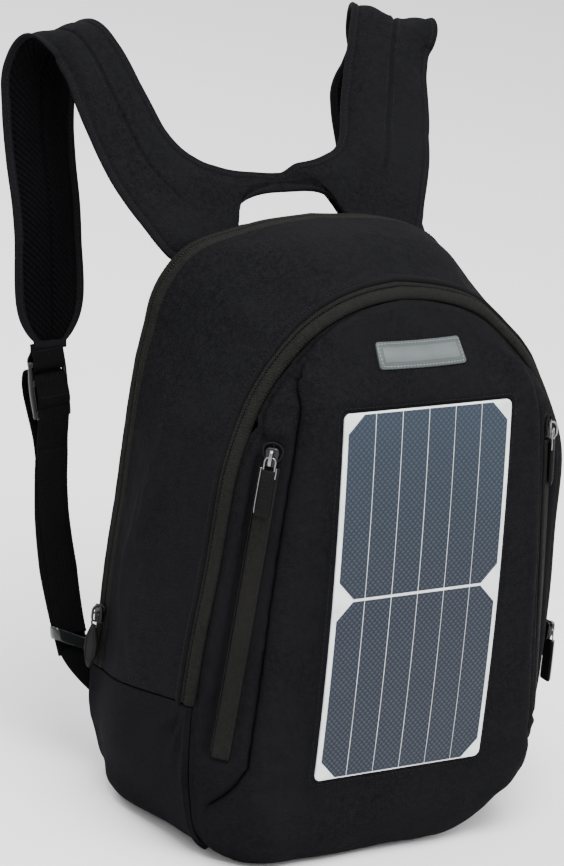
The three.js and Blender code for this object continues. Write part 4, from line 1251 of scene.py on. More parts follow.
def cell_mat():
    m, nt, b = new_mat("silicon_cell")
    uv = node(nt, "ShaderNodeUVMap")
    sep = nt.nodes.new("ShaderNodeSeparateXYZ")
    nt.links.new(uv.outputs[0], sep.inputs[0])
    k = 2 * math.pi / (4.2 * MM)
    u = math_node(nt, "SINE", math_node(nt, "MULTIPLY", sep.outputs[0], k))
    v = math_node(nt, "SINE", math_node(nt, "MULTIPLY", sep.outputs[1], k))
    dots = math_node(nt, "MULTIPLY", u, v)
    tc = node(nt, "ShaderNodeTexCoord")
    n1 = node(nt, "ShaderNodeTexNoise", i_Scale=60.0, i_Detail=4.0)
    n2 = node(nt, "ShaderNodeTexNoise", i_Scale=9.0, i_Detail=2.0)
    for n in (n1, n2):
        nt.links.new(tc.outputs["Object"], n.inputs["Vector"])
    # painted reflection: the cell colour runs from dark navy at the panel's foot to lighter blue at its top, standing
    # in for the overhead light reflected in the glossy cells; the noise adds random tone
    up = node(nt, "ShaderNodeMapRange")
    nt.links.new(sep.outputs[1], up.inputs["Value"])
    up.inputs["From Min"].default_value, up.inputs["From Max"].default_value = -0.128, 0.128
    painted_reflection_and_tone = math_node(nt, "ADD", up.outputs[0], math_node(nt, "MULTIPLY", math_node(nt, "SUBTRACT", n2.outputs[0], 0.5), 0.25))
    c = ramp(nt, painted_reflection_and_tone, [(0.0, (0.0022, 0.0052, 0.014)), (0.45, (0.003, 0.0065, 0.0155)), (0.72, (0.006, 0.0115, 0.021)), (1.0, (0.013, 0.022, 0.035))])
    mix = node(nt, "ShaderNodeMix", data_type="RGBA")
    mask = ramp(nt, math_node(nt, "ADD", dots, math_node(nt, "MULTIPLY", n1.outputs[0], 0.3)), [(0.15, (0, 0, 0)), (0.75, (1, 1, 1))])
    nt.links.new(math_node(nt, "MULTIPLY", mask, 0.5), mix.inputs[0])
    nt.links.new(c, mix.inputs[6])
    mix.inputs[7].default_value = (0.04, 0.056, 0.076, 1)
    nt.links.new(mix.outputs[2], b.inputs["Base Color"])
    b.inputs["Roughness"].default_value = 0.34
    b.inputs["Specular IOR Level"].default_value = 0.2
    b.inputs["Coat Weight"].default_value = 0.12
    b.inputs["Coat Roughness"].default_value = 0.3
    bm = node(nt, "ShaderNodeBump", i_Strength=0.5, i_Distance=0.0003)
    nt.links.new(dots, bm.inputs["Height"])
    nt.links.new(bm.outputs[0], b.inputs["Normal"])
    return m


SHEETW, CELLM = white_mat(), cell_mat()
PW, PH = 139.2, 257.6
parts = []
outline = rbox(PW, PH, 4.5, 6)
parts.append((*prism(outline, 0.0, 1.5, 0.5), 0))
backsheet = assemble("solar_laminate_sheet", parts, [SHEETW])
ride(backsheet, "front_flap", "backsheet_white", "solar_backsheet")
strips, ribbons_ = [], []
CW, CH, CHF = 132.2, 126.6, 12.6
for half in (1, -1):
    cy = half * (CH / 2 + 1.0)
    for i in range(6):
        w = CW / 6
        a, b_ = -CW / 2 + i * w + (0.35 if i else 0), -CW / 2 + (i + 1) * w - (0.35 if i < 5 else 0)
        poly = [[a, cy - CH / 2], [b_, cy - CH / 2], [b_, cy + CH / 2], [a, cy + CH / 2]]
        for sx in (-1, 1):
            for sy in (-1, 1):
                poly = clip_poly(poly, sx, sy, CW / 2 + sx * 0 + sy * cy + CH / 2 - CHF)
        # each strip is a flat prism; the shallow embossing comes from the cell material's bump
        strips.append((*prism(poly, 1.45, 1.85, 0.12), 0))
cells = assemble("solar_cells", strips, [CELLM], smooth_shade=False)
ride(cells, "front_flap", "silicon_cell", "solar_cell_upper", "solar_cell_lower", "solar_cover_film")


def bend_panel(ob):
    """Cut a flat panel piece across its height and bow it with the cloth below."""
    bm = bmesh.new()
    bm.from_mesh(ob.data)
    o = Vector((PV_O + [0, 0, FLOOR]) * MM)
    u = Vector(PV_U)
    for v_ in np.arange(-126, 127, 6.0):
        bmesh.ops.bisect_plane(bm, geom=bm.verts[:] + bm.edges[:] + bm.faces[:], dist=1e-6, plane_co=o + u * (v_ * MM), plane_no=u)
    for v in bm.verts:
        k_ = float(panel_bulge((v.co - o).dot(u) / MM)) * MM
        v.co.y -= k_
    bm.to_mesh(ob.data)
    bm.free()


bend_panel(backsheet)
bend_panel(cells)


# ------------------------------------------------------------------ on the front skin
def skin(x, z, h=0.0):
    """Point and normal on the undisplaced front skin."""
    x, z = np.broadcast_arrays(np.asarray(x, float), np.asarray(z, float))
    q = np.stack([x.ravel(), z.ravel()], 1)
    y = front_y(q)
    gx = (front_y(q + [0.5, 0]) - front_y(q - [0.5, 0]))
    gz = (front_y(q + [0, 0.5]) - front_y(q - [0, 0.5]))
    n = unit(np.stack([gx, -np.ones(len(q)), gz], 1))
    P = np.stack([q[:, 0], y, q[:, 1]], 1) + n * h
    return P.reshape(*x.shape, 3), n.reshape(*x.shape, 3)


def rect_path(w, h, r, n=260):
    p = rbox(w, h, r, 8)
    return resample(np.vstack([p, p[:1]]), n)


p = rect_path(PW + 7.0, PH + 7.0, 6, 420)
world = pv(p[:, 0], p[:, 1], 0.0 * p[:, 0])
P, Nn = skin(world[:, 0], world[:, 2], 0.0)
p2 = rect_path(PW - 3.0, PH - 3.0, 3, 400)
P2 = pv(p2[:, 0], p2[:, 1], np.full(len(p2), 1.52))
P2[:, 1] -= panel_bulge(p2[:, 1])
ob = assemble("panel_stitching", [(*stitches(P, Nn, 3.4, 2.4, 0.3, 0.1), 0)], [THREAD])
ride(ob, "front_flap", "shell_cloth")

# label patch: blank rubber, sewn on along its border
def patch_bar(w, h, r, base_, top, mat, bevel=0.35):
    xs = np.concatenate([[-w / 2], -w / 2 + r * (1 - np.cos(np.linspace(0.15, math.pi / 2, 6))), np.linspace(-w / 2 + r, w / 2 - r, 30)[1:-1], w / 2 - r * (1 - np.cos(np.linspace(math.pi / 2, 0.15, 6))), [w / 2]])
    P, Nn = skin(xs, np.full(len(xs), 345.0))
    prof = []
    for x in xs:
        d = w / 2 - abs(x)
        hh = h / 2 - (r - math.sqrt(max(r * r - (r - min(d, r)) ** 2, 0)))
        hh = max(hh, 0.4)
        k = min(1, d / bevel + 0.5)
        t = base_ + (top - base_) * k
        prof.append([[-hh, base_], [-hh, t - bevel], [-hh + bevel, t], [0, t + 0.02], [hh - bevel, t], [hh, t - bevel], [hh, base_]])
    return (*sweep(P, Nn, prof), mat)


PATCH_IN = plastic("patch_face", (0.062, 0.075, 0.077), rough=0.5, grain=0.3)
THREAD2 = plastic("patch_thread", (0.2, 0.21, 0.215), rough=0.6, grain=0.2)
PW2, PH2 = 70.0, 19.6
q = rect_path(PW2 - 3.6, PH2 - 3.6, 1.6, 220)
tilt_up = math.cos(math.atan(0.25))
CLEAN = 0.787
Pq, Nq = skin(q[:, 0], 345 + q[:, 1] * CLEAN, 1.7)
frame_line = rect_path(PW2 - 7.6, PH2 - 7.6, 1.0, 200)
Pf, Nf = skin(frame_line[:, 0], 345 + frame_line[:, 1] * CLEAN, 1.75)
patch = assemble("label_patch_blank", [patch_bar(PW2, PH2, 2.2, -0.8, 1.7, 0), patch_bar(PW2 - 8.6, PH2 - 8.6, 0.8, 1.2, 2.05, 1, 0.2), (*stitches(Pq, Nq, 2.6, 1.7, 0.26, 0.05), 2)], [PATCH, PATCH_IN, THREAD2])
ride(patch, "front_flap", "patch_rubber", "label_patch")


# ------------------------------------------------------------------ side-pocket zips
ZT, ZL = np.array([-112.5, -72, 292.0]), np.array([-131.0, -82, 71.0])
S_UP, S_OUT, S_AC = np.array([0.08333, 0.04505, 0.9955]), np.array([-0.71738, -0.69068, 0.0913]), np.array([-0.69168, 0.72176, 0.02524])


def zip_on_skin(t0, t1, n, off=0.0, h=0.0):
    """Run on the left skin along the zip, t from the top (0) to the bottom (1), off towards the outside."""
    t = np.linspace(t0, t1, n)
    x = ZT[0] + (ZL[0] - ZT[0]) * t
    z = ZT[2] + (ZL[2] - ZT[2]) * t
    _, nn = skin(x, z)
    side_ = unit(np.cross(unit(np.gradient(np.stack([x, 0 * x, z], 1), axis=0)), nn))
    side_ *= np.sign(side_[:, :1] * -1)
    P, nn = skin(x + side_[:, 0] * off, z + side_[:, 2] * off, h)
    return P, nn


def side_zip_parts():
    # cloth flap over the coil, open along its outer edge
    P, nn = zip_on_skin(0.075, 1.0, 90)
    t, s, n_ = frames(P, nn)
    sg = np.sign((s * [-1, 0, 0]).sum(1).mean())
    a = []
    for i in range(len(P)):
        k = min(1, i / 3 + 0.4, (len(P) - 1 - i) / 2 + 0.5)
        a.append(np.array([[-6.3, -1.4], [-6.3, 0.15], [-5.6, 0.75 * k], [-2.5, 0.95 * k], [2, 1.15 * k], [5.2, 1.25 * k], [6.2, 0.85 * k], [6.25, -0.1], [5.6, -1.4]]) * [sg, 1])
    out = [(*sweep(P, nn, a), 0)]
    for off in (-4.9, -2.9):
        Q, qn = zip_on_skin(0.09, 0.992, 90, off, 0.8)
        out.append((*stitches(Q, qn, 3.2, 2.2, 0.24, 0.1), 1))
    for tt in (0.983,):
        Q = np.array([zip_on_skin(tt - 0.001, tt + 0.001, 3, o, 0.95)[0][1] for o in np.linspace(-5.4, 5.4, 12)])
        out.append((*stitches(Q, zip_on_skin(tt - 0.001, tt + 0.001, 3)[1][1], 2.2, 1.6, 0.26, 0.1), 1))
    # coil showing in the garage at the top, and just inside the flap's edge
    Q, qn = zip_on_skin(-0.005, 0.09, 20, 0, -0.6)
    out += [(*c, 2) for c in coil(Q, qn)]
    Q, qn = zip_on_skin(0.08, 0.985, 120, 7.3, -1.1)
    out.append((*stitches(Q, qn, 1.9, 1.4, 0.4, 0.1), 2))
    # piped lip round the garage
    lip = []
    for j in np.linspace(-1.1, math.pi + 1.1, 26):
        lip.append((0.022 - 0.022 * math.sin(j) if math.sin(j) > 0 else 0.022 - 0.04 * math.sin(j), 6.6 * math.cos(j)))
    L_ = np.array([zip_on_skin(a_ - 0.0005, a_ + 0.0005, 3, o, 0.25)[0][1] for a_, o in lip])
    Ln = np.array([zip_on_skin(a_ - 0.0005, a_ + 0.0005, 3, o, 0.25)[1][1] for a_, o in lip])
    out.append((*sweep(L_, Ln, circle(0.75, 8)), 0))
    return out


for side, w in ((-1, "left"), (1, "right")):
    ps = [(v if side < 0 else v * [-1, 1, 1], f, u, m) for v, f, u, m in side_zip_parts()]
    ob = assemble(f"side_zip_flap_{w}", ps, [BAND, THREAD, TEETH])
    ride(ob, "front_flap", "zip_tape", f"side_zip_tape_{w}")


# ------------------------------------------------------------------ zip sliders and pulls
def place(parts_, O, ax, flip=False):
    """Local parts (x, y, z) into the design frame at O with axes ax."""
    out = []
    for v, f, u, m in parts_:
        w = O + v[:, :1] * ax[0] + v[:, 1:2] * ax[1] + v[:, 2:3] * ax[2]
        out.append((w * [-1, 1, 1] if flip else w, f, u, m))
    return out


EX, EY, EZ = np.eye(3)


def lpath(pts_, n=None, smooth_=True):
    p_ = catmull(pts_, 10) if smooth_ else np.asarray(pts_, float)
    return resample(p_, n) if n else p_


def slider_parts():
    out = []
    # lower and upper plates, broad at the shoulders and narrow at the tail
    for y0, y1, k in ((-0.3, 0.8, 0.92), (2.0, 3.1, 1.0)):
        zs_ = np.linspace(-6.5, 6.5, 15)
        wd = np.interp(zs_, [-6.5, -5.4, 0, 3.4, 5.6, 6.5], [5.6, 7.4, 7.9, 9.2, 8.4, 5.8]) * k
        P = np.stack([0 * zs_, 0 * zs_ + (y0 + y1) / 2, zs_], 1)
        out.append((*sweep(P, EY, [rbox(w_, y1 - y0, 0.4, 2) for w_ in wd]), 0))
    out.append((*slab([0, 1.4, 4.2], (EX, EZ, EY), (1.6, 3.4, 1.6), 0.5), 0))
    for sg in (-1, 1):
        out.append((*slab([sg * 3.8, 1.5, -0.6], (EX, EZ, EY), (0.8, 8.4, 2.2), 0.3), 0))
    bow = lpath([[0, 2.6, -5.6], [0, 5.4, -5.3], [0, 6.9, -3.4], [0, 7.2, 0], [0, 6.9, 3.6], [0, 5.2, 5.4], [0, 2.6, 5.6]], 26)
    nn_ = unit(bow - np.array([0, 2.5, 0]))
    out.append((*sweep(bow, nn_, rbox(2.3, 1.1, 0.45, 3)), 1))
    return out


def bail_parts(w=3.5, low=-9.6, r=0.62):
    line_ = lpath([[0, 4.6, 0.2], [w * 0.62, 4.6, 0.1], [w, 4.6, -1.6], [w * 1.05, 4.6, -5], [w * 1.05, 4.6, low + 1.2], [w * 0.8, 4.6, low], [0, 4.6, low - 0.2]], 30)
    other = line_[::-1] * [-1, 1, 1]
    return [(*sweep(np.vstack([other, line_[1:]]), EY, circle(r, 10)), 0)]


def pull_long():
    out = [(v, f, u, 0) for v, f, u, m in bail_parts()]
    zs_ = np.concatenate([[-8.2, -8.35, -8.9], np.linspace(-10, -38.5, 26), [-39.6, -40.0, -40.15]])
    wd = np.interp(zs_, [-40.15, -40.0, -39.6, -38, -20, -9.5, -8.9, -8.35, -8.2], [6.8, 8.6, 9.6, 10.0, 9.6, 9.4, 9.0, 8.0, 6.6])
    th = np.interp(zs_, [-40.15, -39.8, -38, -12, -9, -8.2], [1.0, 1.9, 2.3, 2.4, 2.9, 1.6])
    th = th + 0.14 * np.sin(zs_ * 2.4) * ((zs_ < -14) & (zs_ > -37))
    P = np.stack([0 * zs_, 0 * zs_ + 4.7, zs_], 1)
    out.append((*sweep(P, EY, [rbox(a_, b_, 0.8, 3) for a_, b_ in zip(wd, th)]), 1))
    # raised rim and grip bars
    rim_ = rect_path(7.6, 25.5, 1.8, 90)
    out.append((*sweep(np.stack([rim_[:, 0], 0 * rim_[:, 0] + 5.85, rim_[:, 1] - 24.6], 1), EY, circle(0.38, 6)), 1))
    for z_ in np.arange(-34, -14, 2.6):
        out.append((*slab([0, 5.8, z_], (EX, EZ, EY), (4.8, 1.1, 0.8), 0.4, 0.2), 1))
    # bright wire along one edge
    rod = lpath([[5.15, 5.0, -7.0], [5.25, 5.1, -12], [5.3, 5.1, -36], [5.1, 5.0, -38.5]], 24)
    out.append((*sweep(rod, EY, circle(0.5, 8)), 0))
    rod = lpath([[-5.0, 5.0, -6.0], [-5.1, 5.1, -9], [-5.0, 5.0, -13.5]], 12)
    out.append((*sweep(rod, EY, circle(0.5, 8)), 0))
    return out


def pull_hex():
    out = [(v, f, u, 0) for v, f, u, m in bail_parts(3.2, -9.4, 0.7)]
    zs_ = np.concatenate([[-8.0, -8.3], np.linspace(-9, -39, 24), [-39.8, -40.1]])
    wd = np.interp(zs_, [-40.1, -39.6, -38.5, -28.5, -20, -9, -8.0], [3.2, 4.6, 5.2, 15.4, 15.4, 5.6, 4.0])
    th = np.interp(zs_, [-40.1, -39, -36, -12, -8.5, -8.0], [1.2, 2.0, 2.6, 2.6, 2.2, 1.2])
    P = np.stack([0 * zs_, 0 * zs_ + 4.7, zs_], 1)
    out.append((*sweep(P, EY, [rbox(a_, b_, 0.9, 3) for a_, b_ in zip(wd, th)]), 1))
    rim_ = np.array([[-2.2, -13], [2.2, -13], [4.9, -20], [4.9, -28.5], [2.2, -35.5], [-2.2, -35.5], [-4.9, -28.5], [-4.9, -20], [-2.2, -13]])
    rim_ = resample(rim_, 90)
    out.append((*sweep(np.stack([rim_[:, 0], 0 * rim_[:, 0] + 5.95, rim_[:, 1]], 1), EY, circle(0.4, 6)), 1))
    return out


side_org = ZL + (ZT - ZL) * 0.955 - S_OUT * 1.2
AX_SIDE = (S_AC, S_OUT, S_UP)
AX_MAIN = (np.array([0.0, 1, 0]), np.array([-0.99931, 0, 0.03718]), np.array([0.03718, 0, 0.99931]))
AX_FRONT = (np.array([0.0, -1, 0]), np.array([0.99894, 0, 0.0461]), np.array([-0.0461, 0, 0.99894]))
BLACKM = plastic("blackened_metal", (0.02, 0.02, 0.022), rough=0.38, metallic=0.8, grain=0.08)
DARKM = plastic("slider_metal", (0.03, 0.03, 0.032), rough=0.4, metallic=0.9, grain=0.08)
for nm, O, ax, flip, pullf, sb, pb, base_n in (
        ("side_zip_left", side_org, AX_SIDE, False, pull_long, "side_slider_left", "side_pull_left", "side_zip_left"),
        ("side_zip_right", side_org, AX_SIDE, True, pull_long, "side_slider_right", "side_pull_right", "side_zip_right"),
        ("main_zip", np.array([-139.6, 69, 118]), AX_MAIN, False, pull_hex, "main_slider", "main_pull", "main_zip"),
        ("front_zip", np.array([149.6, -59.6, 122]), AX_FRONT, False, pull_long, "front_slider", "front_pull", "front_zip")):
    sl = assemble(nm + "_slider_body", place(slider_parts(), O, ax, flip), [DARKM, BLACKM if nm == "main_zip" else METAL])
    pl = assemble(nm + "_pull_tab", place(pullf(), O, ax, flip), [BLACKM if nm == "main_zip" else METAL, RUBBER])
    ride(sl, sb, "zip_metal", base_n + "_slider")
    ride(pl, pb, "pull_rubber", base_n + "_pull")


# ------------------------------------------------------------------ lower strap hardware
W_UP, W_OUT, W_AC = np.array([-0.091, 0.25159, 0.96355]), np.array([0.02366, 0.96783, -0.25048]), np.array([0.99557, 0, 0.09403])
LOCK_O = np.array([-155, 144.5, 260.0])
RUN = 186.8
AX_W = (W_AC, W_OUT, W_UP)


def yz(pts_, n=60):
    p_ = resample(catmull([[0, a_, b_] for a_, b_ in pts_], 16), n)
    return p_


def web_sweep(pts_, n=60, w=25.0, t=1.5, side_off=None):
    P = yz(pts_, n)
    if side_off is not None:
        P[:, 0] += np.interp(-P[:, 2], *side_off)
    tt = unit(np.gradient(P, axis=0))
    nn_ = np.cross(tt, np.array([1.0, 0, 0]))
    pr = []
    for i in range(n):
        ww = w - (0.5 if i % 2 else 0)
        pr.append([[-ww / 2, -t * 0.25], [-ww / 2 + 0.6, -t / 2], [-ww / 4, -t / 2], [0, -t / 2 + 0.1], [ww / 4, -t / 2], [ww / 2 - 0.6, -t / 2], [ww / 2, -t * 0.25], [ww / 2, t * 0.25], [ww / 2 - 0.6, t / 2], [ww / 4, t / 2], [0, t / 2 - 0.1], [-ww / 4, t / 2], [-ww / 2 + 0.6, t / 2], [-ww / 2, t * 0.25]])
    return P, nn_, (*sweep(P, nn_, pr), 0)


def lock_parts():
    out = []
    for sg in (-1, 1):
        zz = np.linspace(-20, 20, 21)
        bow = 0.9 * np.cos(zz / 20 * math.pi / 2)
        P = np.stack([sg * (13.2 + bow * 0.5), 0.5 * np.cos(zz / 20 * math.pi), zz], 1)
        out.append((*sweep(P, EY, [rbox(3.0, 4.6 - 1.6 * (abs(z_) / 20) ** 3, 1.6, 4) for z_ in zz]), 0))
    for z_, w_, h_ in ((18.0, 4.0, 5.2), (4.9, 5.2, 4.4), (-16.9, 5.6, 5.2)):
        xx = np.linspace(-13.6, 13.6, 11)
        P = np.stack([xx, 0 * xx, z_ + 0.0006 * (xx ** 2) * np.sign(z_)], 1)
        out.append((*sweep(P, EY, rbox(w_, h_, 1.5, 4)), 0))
    # grip ribs on the lower bar and a thumb lip
    for x_ in np.arange(-11, 11.1, 2.2):
        out.append((*slab([x_, -2.5, -16.9], (EX, EZ, EY), (1.0, 4.4, 0.8), 0.4, 0.2), 0))
    lip = np.stack([np.linspace(-13, 13, 9), np.full(9, -2.6), np.full(9, -19.3)], 1)
    out.append((*sweep(lip, EY, circle(1.2, 10)), 0))
    return out


def keeper_parts():
    out = []
    zc = -RUN + 5
    ring = resample(np.vstack([rbox(31, 9.2, 3.0, 6), rbox(31, 9.2, 3.0, 6)[:1]]), 60)
    pts3 = np.stack([ring[:, 0], ring[:, 1] + 4.4, zc - 0.55 * ring[:, 0]], 1)
    prof = np.array([[-4.9, -0.55], [-4.4, 0.75], [-2.2, 1.05], [0, 1.1], [2.2, 1.05], [4.4, 0.75], [4.9, -0.55], [4.4, -0.8], [-4.4, -0.8]])
    t = unit(np.roll(pts3[:-1], -1, 0) - np.roll(pts3[:-1], 1, 0))
    n_ = unit(np.cross(t, EZ))
    n_ *= np.sign((n_ * (pts3[:-1] - [0, 4.4, zc]) * [1, 1, 0]).sum(1, keepdims=True))
    V = pts3[:-1, None] + EZ * prof[:, 0][None, :, None] + n_[:, None] * prof[:, 1][None, :, None]
    k, m = len(prof), len(pts3) - 1
    F = []
    for r in range(m):
        for c in range(k):
            F.append((r * k + c, r * k + (c + 1) % k, ((r + 1) % m) * k + (c + 1) % k, ((r + 1) % m) * k + c))
    out.append((V.reshape(-1, 3), F, np.zeros((m * k, 2)), 0))
    for x_ in (-9, -3, 3, 9):
        out.append((*slab([x_, 9.9, zc - 0.55 * x_], (EX, EZ, EY), (1.4, 6.5, 0.9), 0.6, 0.25), 0))
    return out


def hand(parts_, side):
    return place(parts_, LOCK_O, AX_W, flip=side > 0)


LIFT = 12.4
for side, w in ((-1, "left"), (1, "right")):
    lock = assemble(f"ladder_lock_frame_{w}", hand(lock_parts(), side), [BUCKLE])
    ride(lock, f"lock_{w}", "buckle_plastic", f"ladder_lock_{w}")
    # loop that carries the lock's top bar, running up into the pad
    P, nn_, lp = web_sweep([[-3.2, 33], [-3.8, 27], [-4.6, 22], [-4.6, 17], [-2.6, 14.2], [0, 13.6], [2.6, 14.2], [4.6, 17], [4.4, 21.5], [1.0, 25], [-1.6, 28], [-2.2, 33]], 60)
    st = []
    for z_ in (24.5, 27.5):
        xs = np.linspace(-11.5, 11.5, 20)
        st.append((*stitches(np.stack([xs, 0 * xs - 4.9 + (z_ - 22) * 0.12, 0 * xs + z_], 1), -EY, 2.4, 1.7, 0.28, 0.1), 1))
    tab = assemble(f"strap_tab_loop_{w}", hand([lp] + st, side), [WEB, THREAD])
    ride(tab, f"strap_{w}", "webbing", f"strap_tab_{w}")
    # adjusting webbing: up from the anchor, bowed out behind the lock, over its bar and down in front
    up_run = [[5.2, -50], [7.2, -34], [12.0, -19], [16.0, -6], [16.2, 5], [12.2, 12.6], [6.0, 13.4], [0.8, 10.6], [-3.6, 8.2], [-4.9, 2], [-4.4, -12], [-2.0, -24], [1.2, -36], [3.2, -50]]
    P, nn_, wa = web_sweep(up_run, 110, side_off=([-20, 10, 50], [0, 0, -1.6]))
    tail_fold = web_sweep([[-4.6, 3], [-6.4, -2], [-6.6, -9], [-4.9, -12]], 20, 24.6, 1.2)[2]
    xs = np.linspace(-11, 11, 18)
    tf = (*stitches(np.stack([xs, 0 * xs - 7.3, 0 * xs - 5.0], 1), -EY, 2.4, 1.7, 0.28, 0.1), 1)
    A_web = assemble(f"adjust_webbing_{w}", hand([wa, tail_fold, tf], side), [WEB, THREAD])
    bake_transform(A_web)
    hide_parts(f"webbing_upper_{w}")
    low_run = [[5.2, -49], [8.6, -70], [11.6, -98], [11.8, -125], [9.4, -152], [6.0, -174], [4.2, -RUN - 3]]
    P, nn_, wb = web_sweep(low_run, 120, side_off=([45, 60, 90, 130, 165, 190], [-1.6, -2.6, -4.2, -4.8, -3.2, -1.0]))
    second = web_sweep([[1.6, -43], [2.6, -52], [6.8, -72], [9.8, -99], [10.0, -125], [7.6, -151], [4.4, -170], [3.0, -177]], 90, 24.2, side_off=([43, 60, 90, 130, 165, 190], [-1.5, -2.2, -2.0, 0.0, -1.6, -1.8]))[2]
    B_web = assemble(f"anchor_webbing_{w}", hand([wb, second], side), [WEB])
    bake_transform(B_web)
    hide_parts(f"webbing_lower_{w}")
    kp = assemble(f"keeper_loop_{w}", hand(keeper_parts(), side), [KEEPER])
    ride(kp, f"keeper_slide_{w}", "buckle_plastic", f"keeper_{w}")
    # anchor patch, folded webbing sewn with a boxed cross
    tr = np.array([[-12.5, -RUN - 0.5], [12.5, -RUN - 0.5], [26, -RUN - 17], [-9, -RUN - 17]])
    zz = np.linspace(0, 1, 12)
    Pm = np.stack([16.0 * zz ** 1.3, 4.3 - 9.4 * zz ** 1.5, -RUN + 3 - 22 * zz], 1)
    ws = (12.5 + 13.5 * zz) - (-12.5 + 3.5 * zz)
    an = [(*sweep(Pm, EY, [rbox(a_, 2.4, 0.9, 3) for a_ in ws]), 0)]
    bx = np.array([[-6, -RUN - 4], [11, -RUN - 4], [23, -RUN - 14], [1, -RUN - 14], [-6, -RUN - 4], [23, -RUN - 14]])
    b3 = resample(np.stack([bx[:, 0], np.full(6, 5.75), bx[:, 1]], 1), 60)
    b3[:, 1] -= 9.4 * np.clip((-RUN + 3 - b3[:, 2]) / 22, 0, 1) ** 1.5
    an.append((*stitches(b3, EY, 2.4, 1.7, 0.28, 0.1), 1))
    anchor = assemble(f"anchor_patch_{w}", hand(an, side), [WEB, THREAD])
    ride(anchor, "back_flap", "webbing", f"anchor_tab_{w}")


# ------------------------------------------------------------------ back padding
def pillow(name, cx, cz, w, h, depth, grooves, y0=88.5, r=18):
    nu, nv = (60, 120) if h > w else (120, 60)
    out = np.zeros((nv, nu, 3))
    s = np.linspace(-1, 1, nu)
    t = np.linspace(-1, 1, nv)
    S, T = np.meshgrid(s, t)
    k = 0.26
    # square to rounded rectangle
    U = S * np.sqrt(1 - k * T ** 2 * (abs(S) ** 2))
    Vv = T * np.sqrt(1 - k * S ** 2 * (abs(T) ** 2))
    out[..., 0], out[..., 2] = cx + U * w / 2, cz + Vv * h / 2
    e = np.minimum((1 - abs(S)) * w / 2, (1 - abs(T)) * h / 2)
    y = 1.6 * np.sqrt(np.clip(e / 0.8, 0, 1)) + (depth - 1.6) * np.sin(np.clip((e - 5.5) / 12, 0, 1) * math.pi / 2)
    g = 0
    for g0, ax_ in grooves:
        d = (out[..., 2] - cz - g0) if ax_ == "z" else (out[..., 0] - cx - g0)
        g = np.maximum(g, np.exp(-(d / 3.6) ** 2))
    y = y - (depth - 3.2) * g * smooth((e - 6) / 5)
    out[..., 1] = y0 + y
    pinw = np.clip(np.maximum(1 - smooth((e - 6) / 5), g), 0, 1)
    bot = out.copy()
    bot[..., 1] = y0
    V = np.vstack([out.reshape(-1, 3), bot.reshape(-1, 3)])
    o = nu * nv
    F = grid_faces(nv, nu) + [tuple(x + o for x in f)[::-1] for f in grid_faces(nv, nu)]
    em = np.minimum(e, 99).ravel()
    M_ = [1 if max(em[j] for j in f) < 6.3 else 0 for f in F[:len(F) // 2]] + [1] * (len(F) // 2)
    for c in range(nu - 1):
        F += [(c + 1, c, c + o, c + 1 + o), ((nv - 1) * nu + c, (nv - 1) * nu + c + 1, (nv - 1) * nu + c + 1 + o, (nv - 1) * nu + c + o)]
        M_ += [1, 1]
    for r_ in range(nv - 1):
        F += [(r_ * nu, (r_ + 1) * nu, (r_ + 1) * nu + o, r_ * nu + o), ((r_ + 1) * nu + nu - 1, r_ * nu + nu - 1, r_ * nu + nu - 1 + o, (r_ + 1) * nu + nu - 1 + o)]
        M_ += [1, 1]
    ob = make(name, V, F, [MESH3D, BINDING])
    ob.data.polygons.foreach_set("material_index", M_)
    uv = arc_uv(out)
    set_uv(ob, np.vstack([uv, uv]))
    bm = bmesh.new()
    bm.from_mesh(ob.data)
    bmesh.ops.recalc_face_normals(bm, faces=bm.faces)
    bm.to_mesh(ob.data)
    bm.free()
    soft_jobs.append((ob, np.round(np.concatenate([pinw.ravel(), np.ones(o)]), 1), 1.2, 0.01, 1.4))
    st = rect_path(w - 8.5, h - 8.5, r * 0.8, 260)
    sp = np.stack([cx + st[:, 0], np.full(len(st), y0 + 1.7), cz + st[:, 1]], 1)
    so = assemble(name + "_stitching", [(*stitches(sp, EY, 3.4, 2.4, 0.28, 0.0), 0)], [THREAD])
    ride(so, "back_flap", "mesh_cloth")
    return ob


pads = [(pillow("back_cushion_left", -52, 252, 82, 190, 9.4, [(-32, "z"), (32, "z")]), "back_pad_left"),
        (pillow("back_cushion_right", 52, 252, 82, 190, 9.4, [(-32, "z"), (32, "z")]), "back_pad_right"),
        (pillow("lumbar_cushion", 0, 111, 176, 62, 9.4, [(-34, "x"), (34, "x")]), "lumbar_pad")]
for ob, n_ in pads:
    ride(ob, "back_flap", "mesh_cloth", n_)


# ------------------------------------------------------------------ seam backing tapes
tape_parts = []
for sg in (-1, 1):
    a = np.linspace(R_BAND.frac(-5), R_BAND.frac(101), 60)
    P = R_BAND.at(a) * [sg, 1, 1]
    nn = unit(np.stack([np.full(60, sg * 0.8), np.full(60, -0.6), 0 * a], 1))
    tape_parts.append((*sweep(P - nn * 3.2, nn, rbox(11, 1.0, 0.4, 2)), 0))
for sg in (-1, 1):
    ys = np.linspace(-62, 74, 60)
    P = []
    for y_ in ys:
        z_ = float(seam_height(np.array([y_]))[()] if np.ndim(seam_height(y_)) else seam_height(y_))
        v_ = 1 + (66 - y_) / 46 if y_ > 20 else 2 + (20 - y_) / 72
        w_ = np.interp(v_, [0.8, 1, 2, 3, 3.3], [R_BACK.width(z_), R_ZIP.width(z_), R_MID.width(z_), R_PIPE.width(z_), R_PIPE.width(z_) - 1])
        P.append([sg * (w_ - 3.4), y_, z_])
    tape_parts.append((*sweep(np.array(P), [sg * 1.0, 0, 0], rbox(9, 1.0, 0.4, 2)), 0))
tapes = assemble("seam_backing_tapes", tape_parts, [BINDING])
ride(tapes, "pack", "shell_cloth")


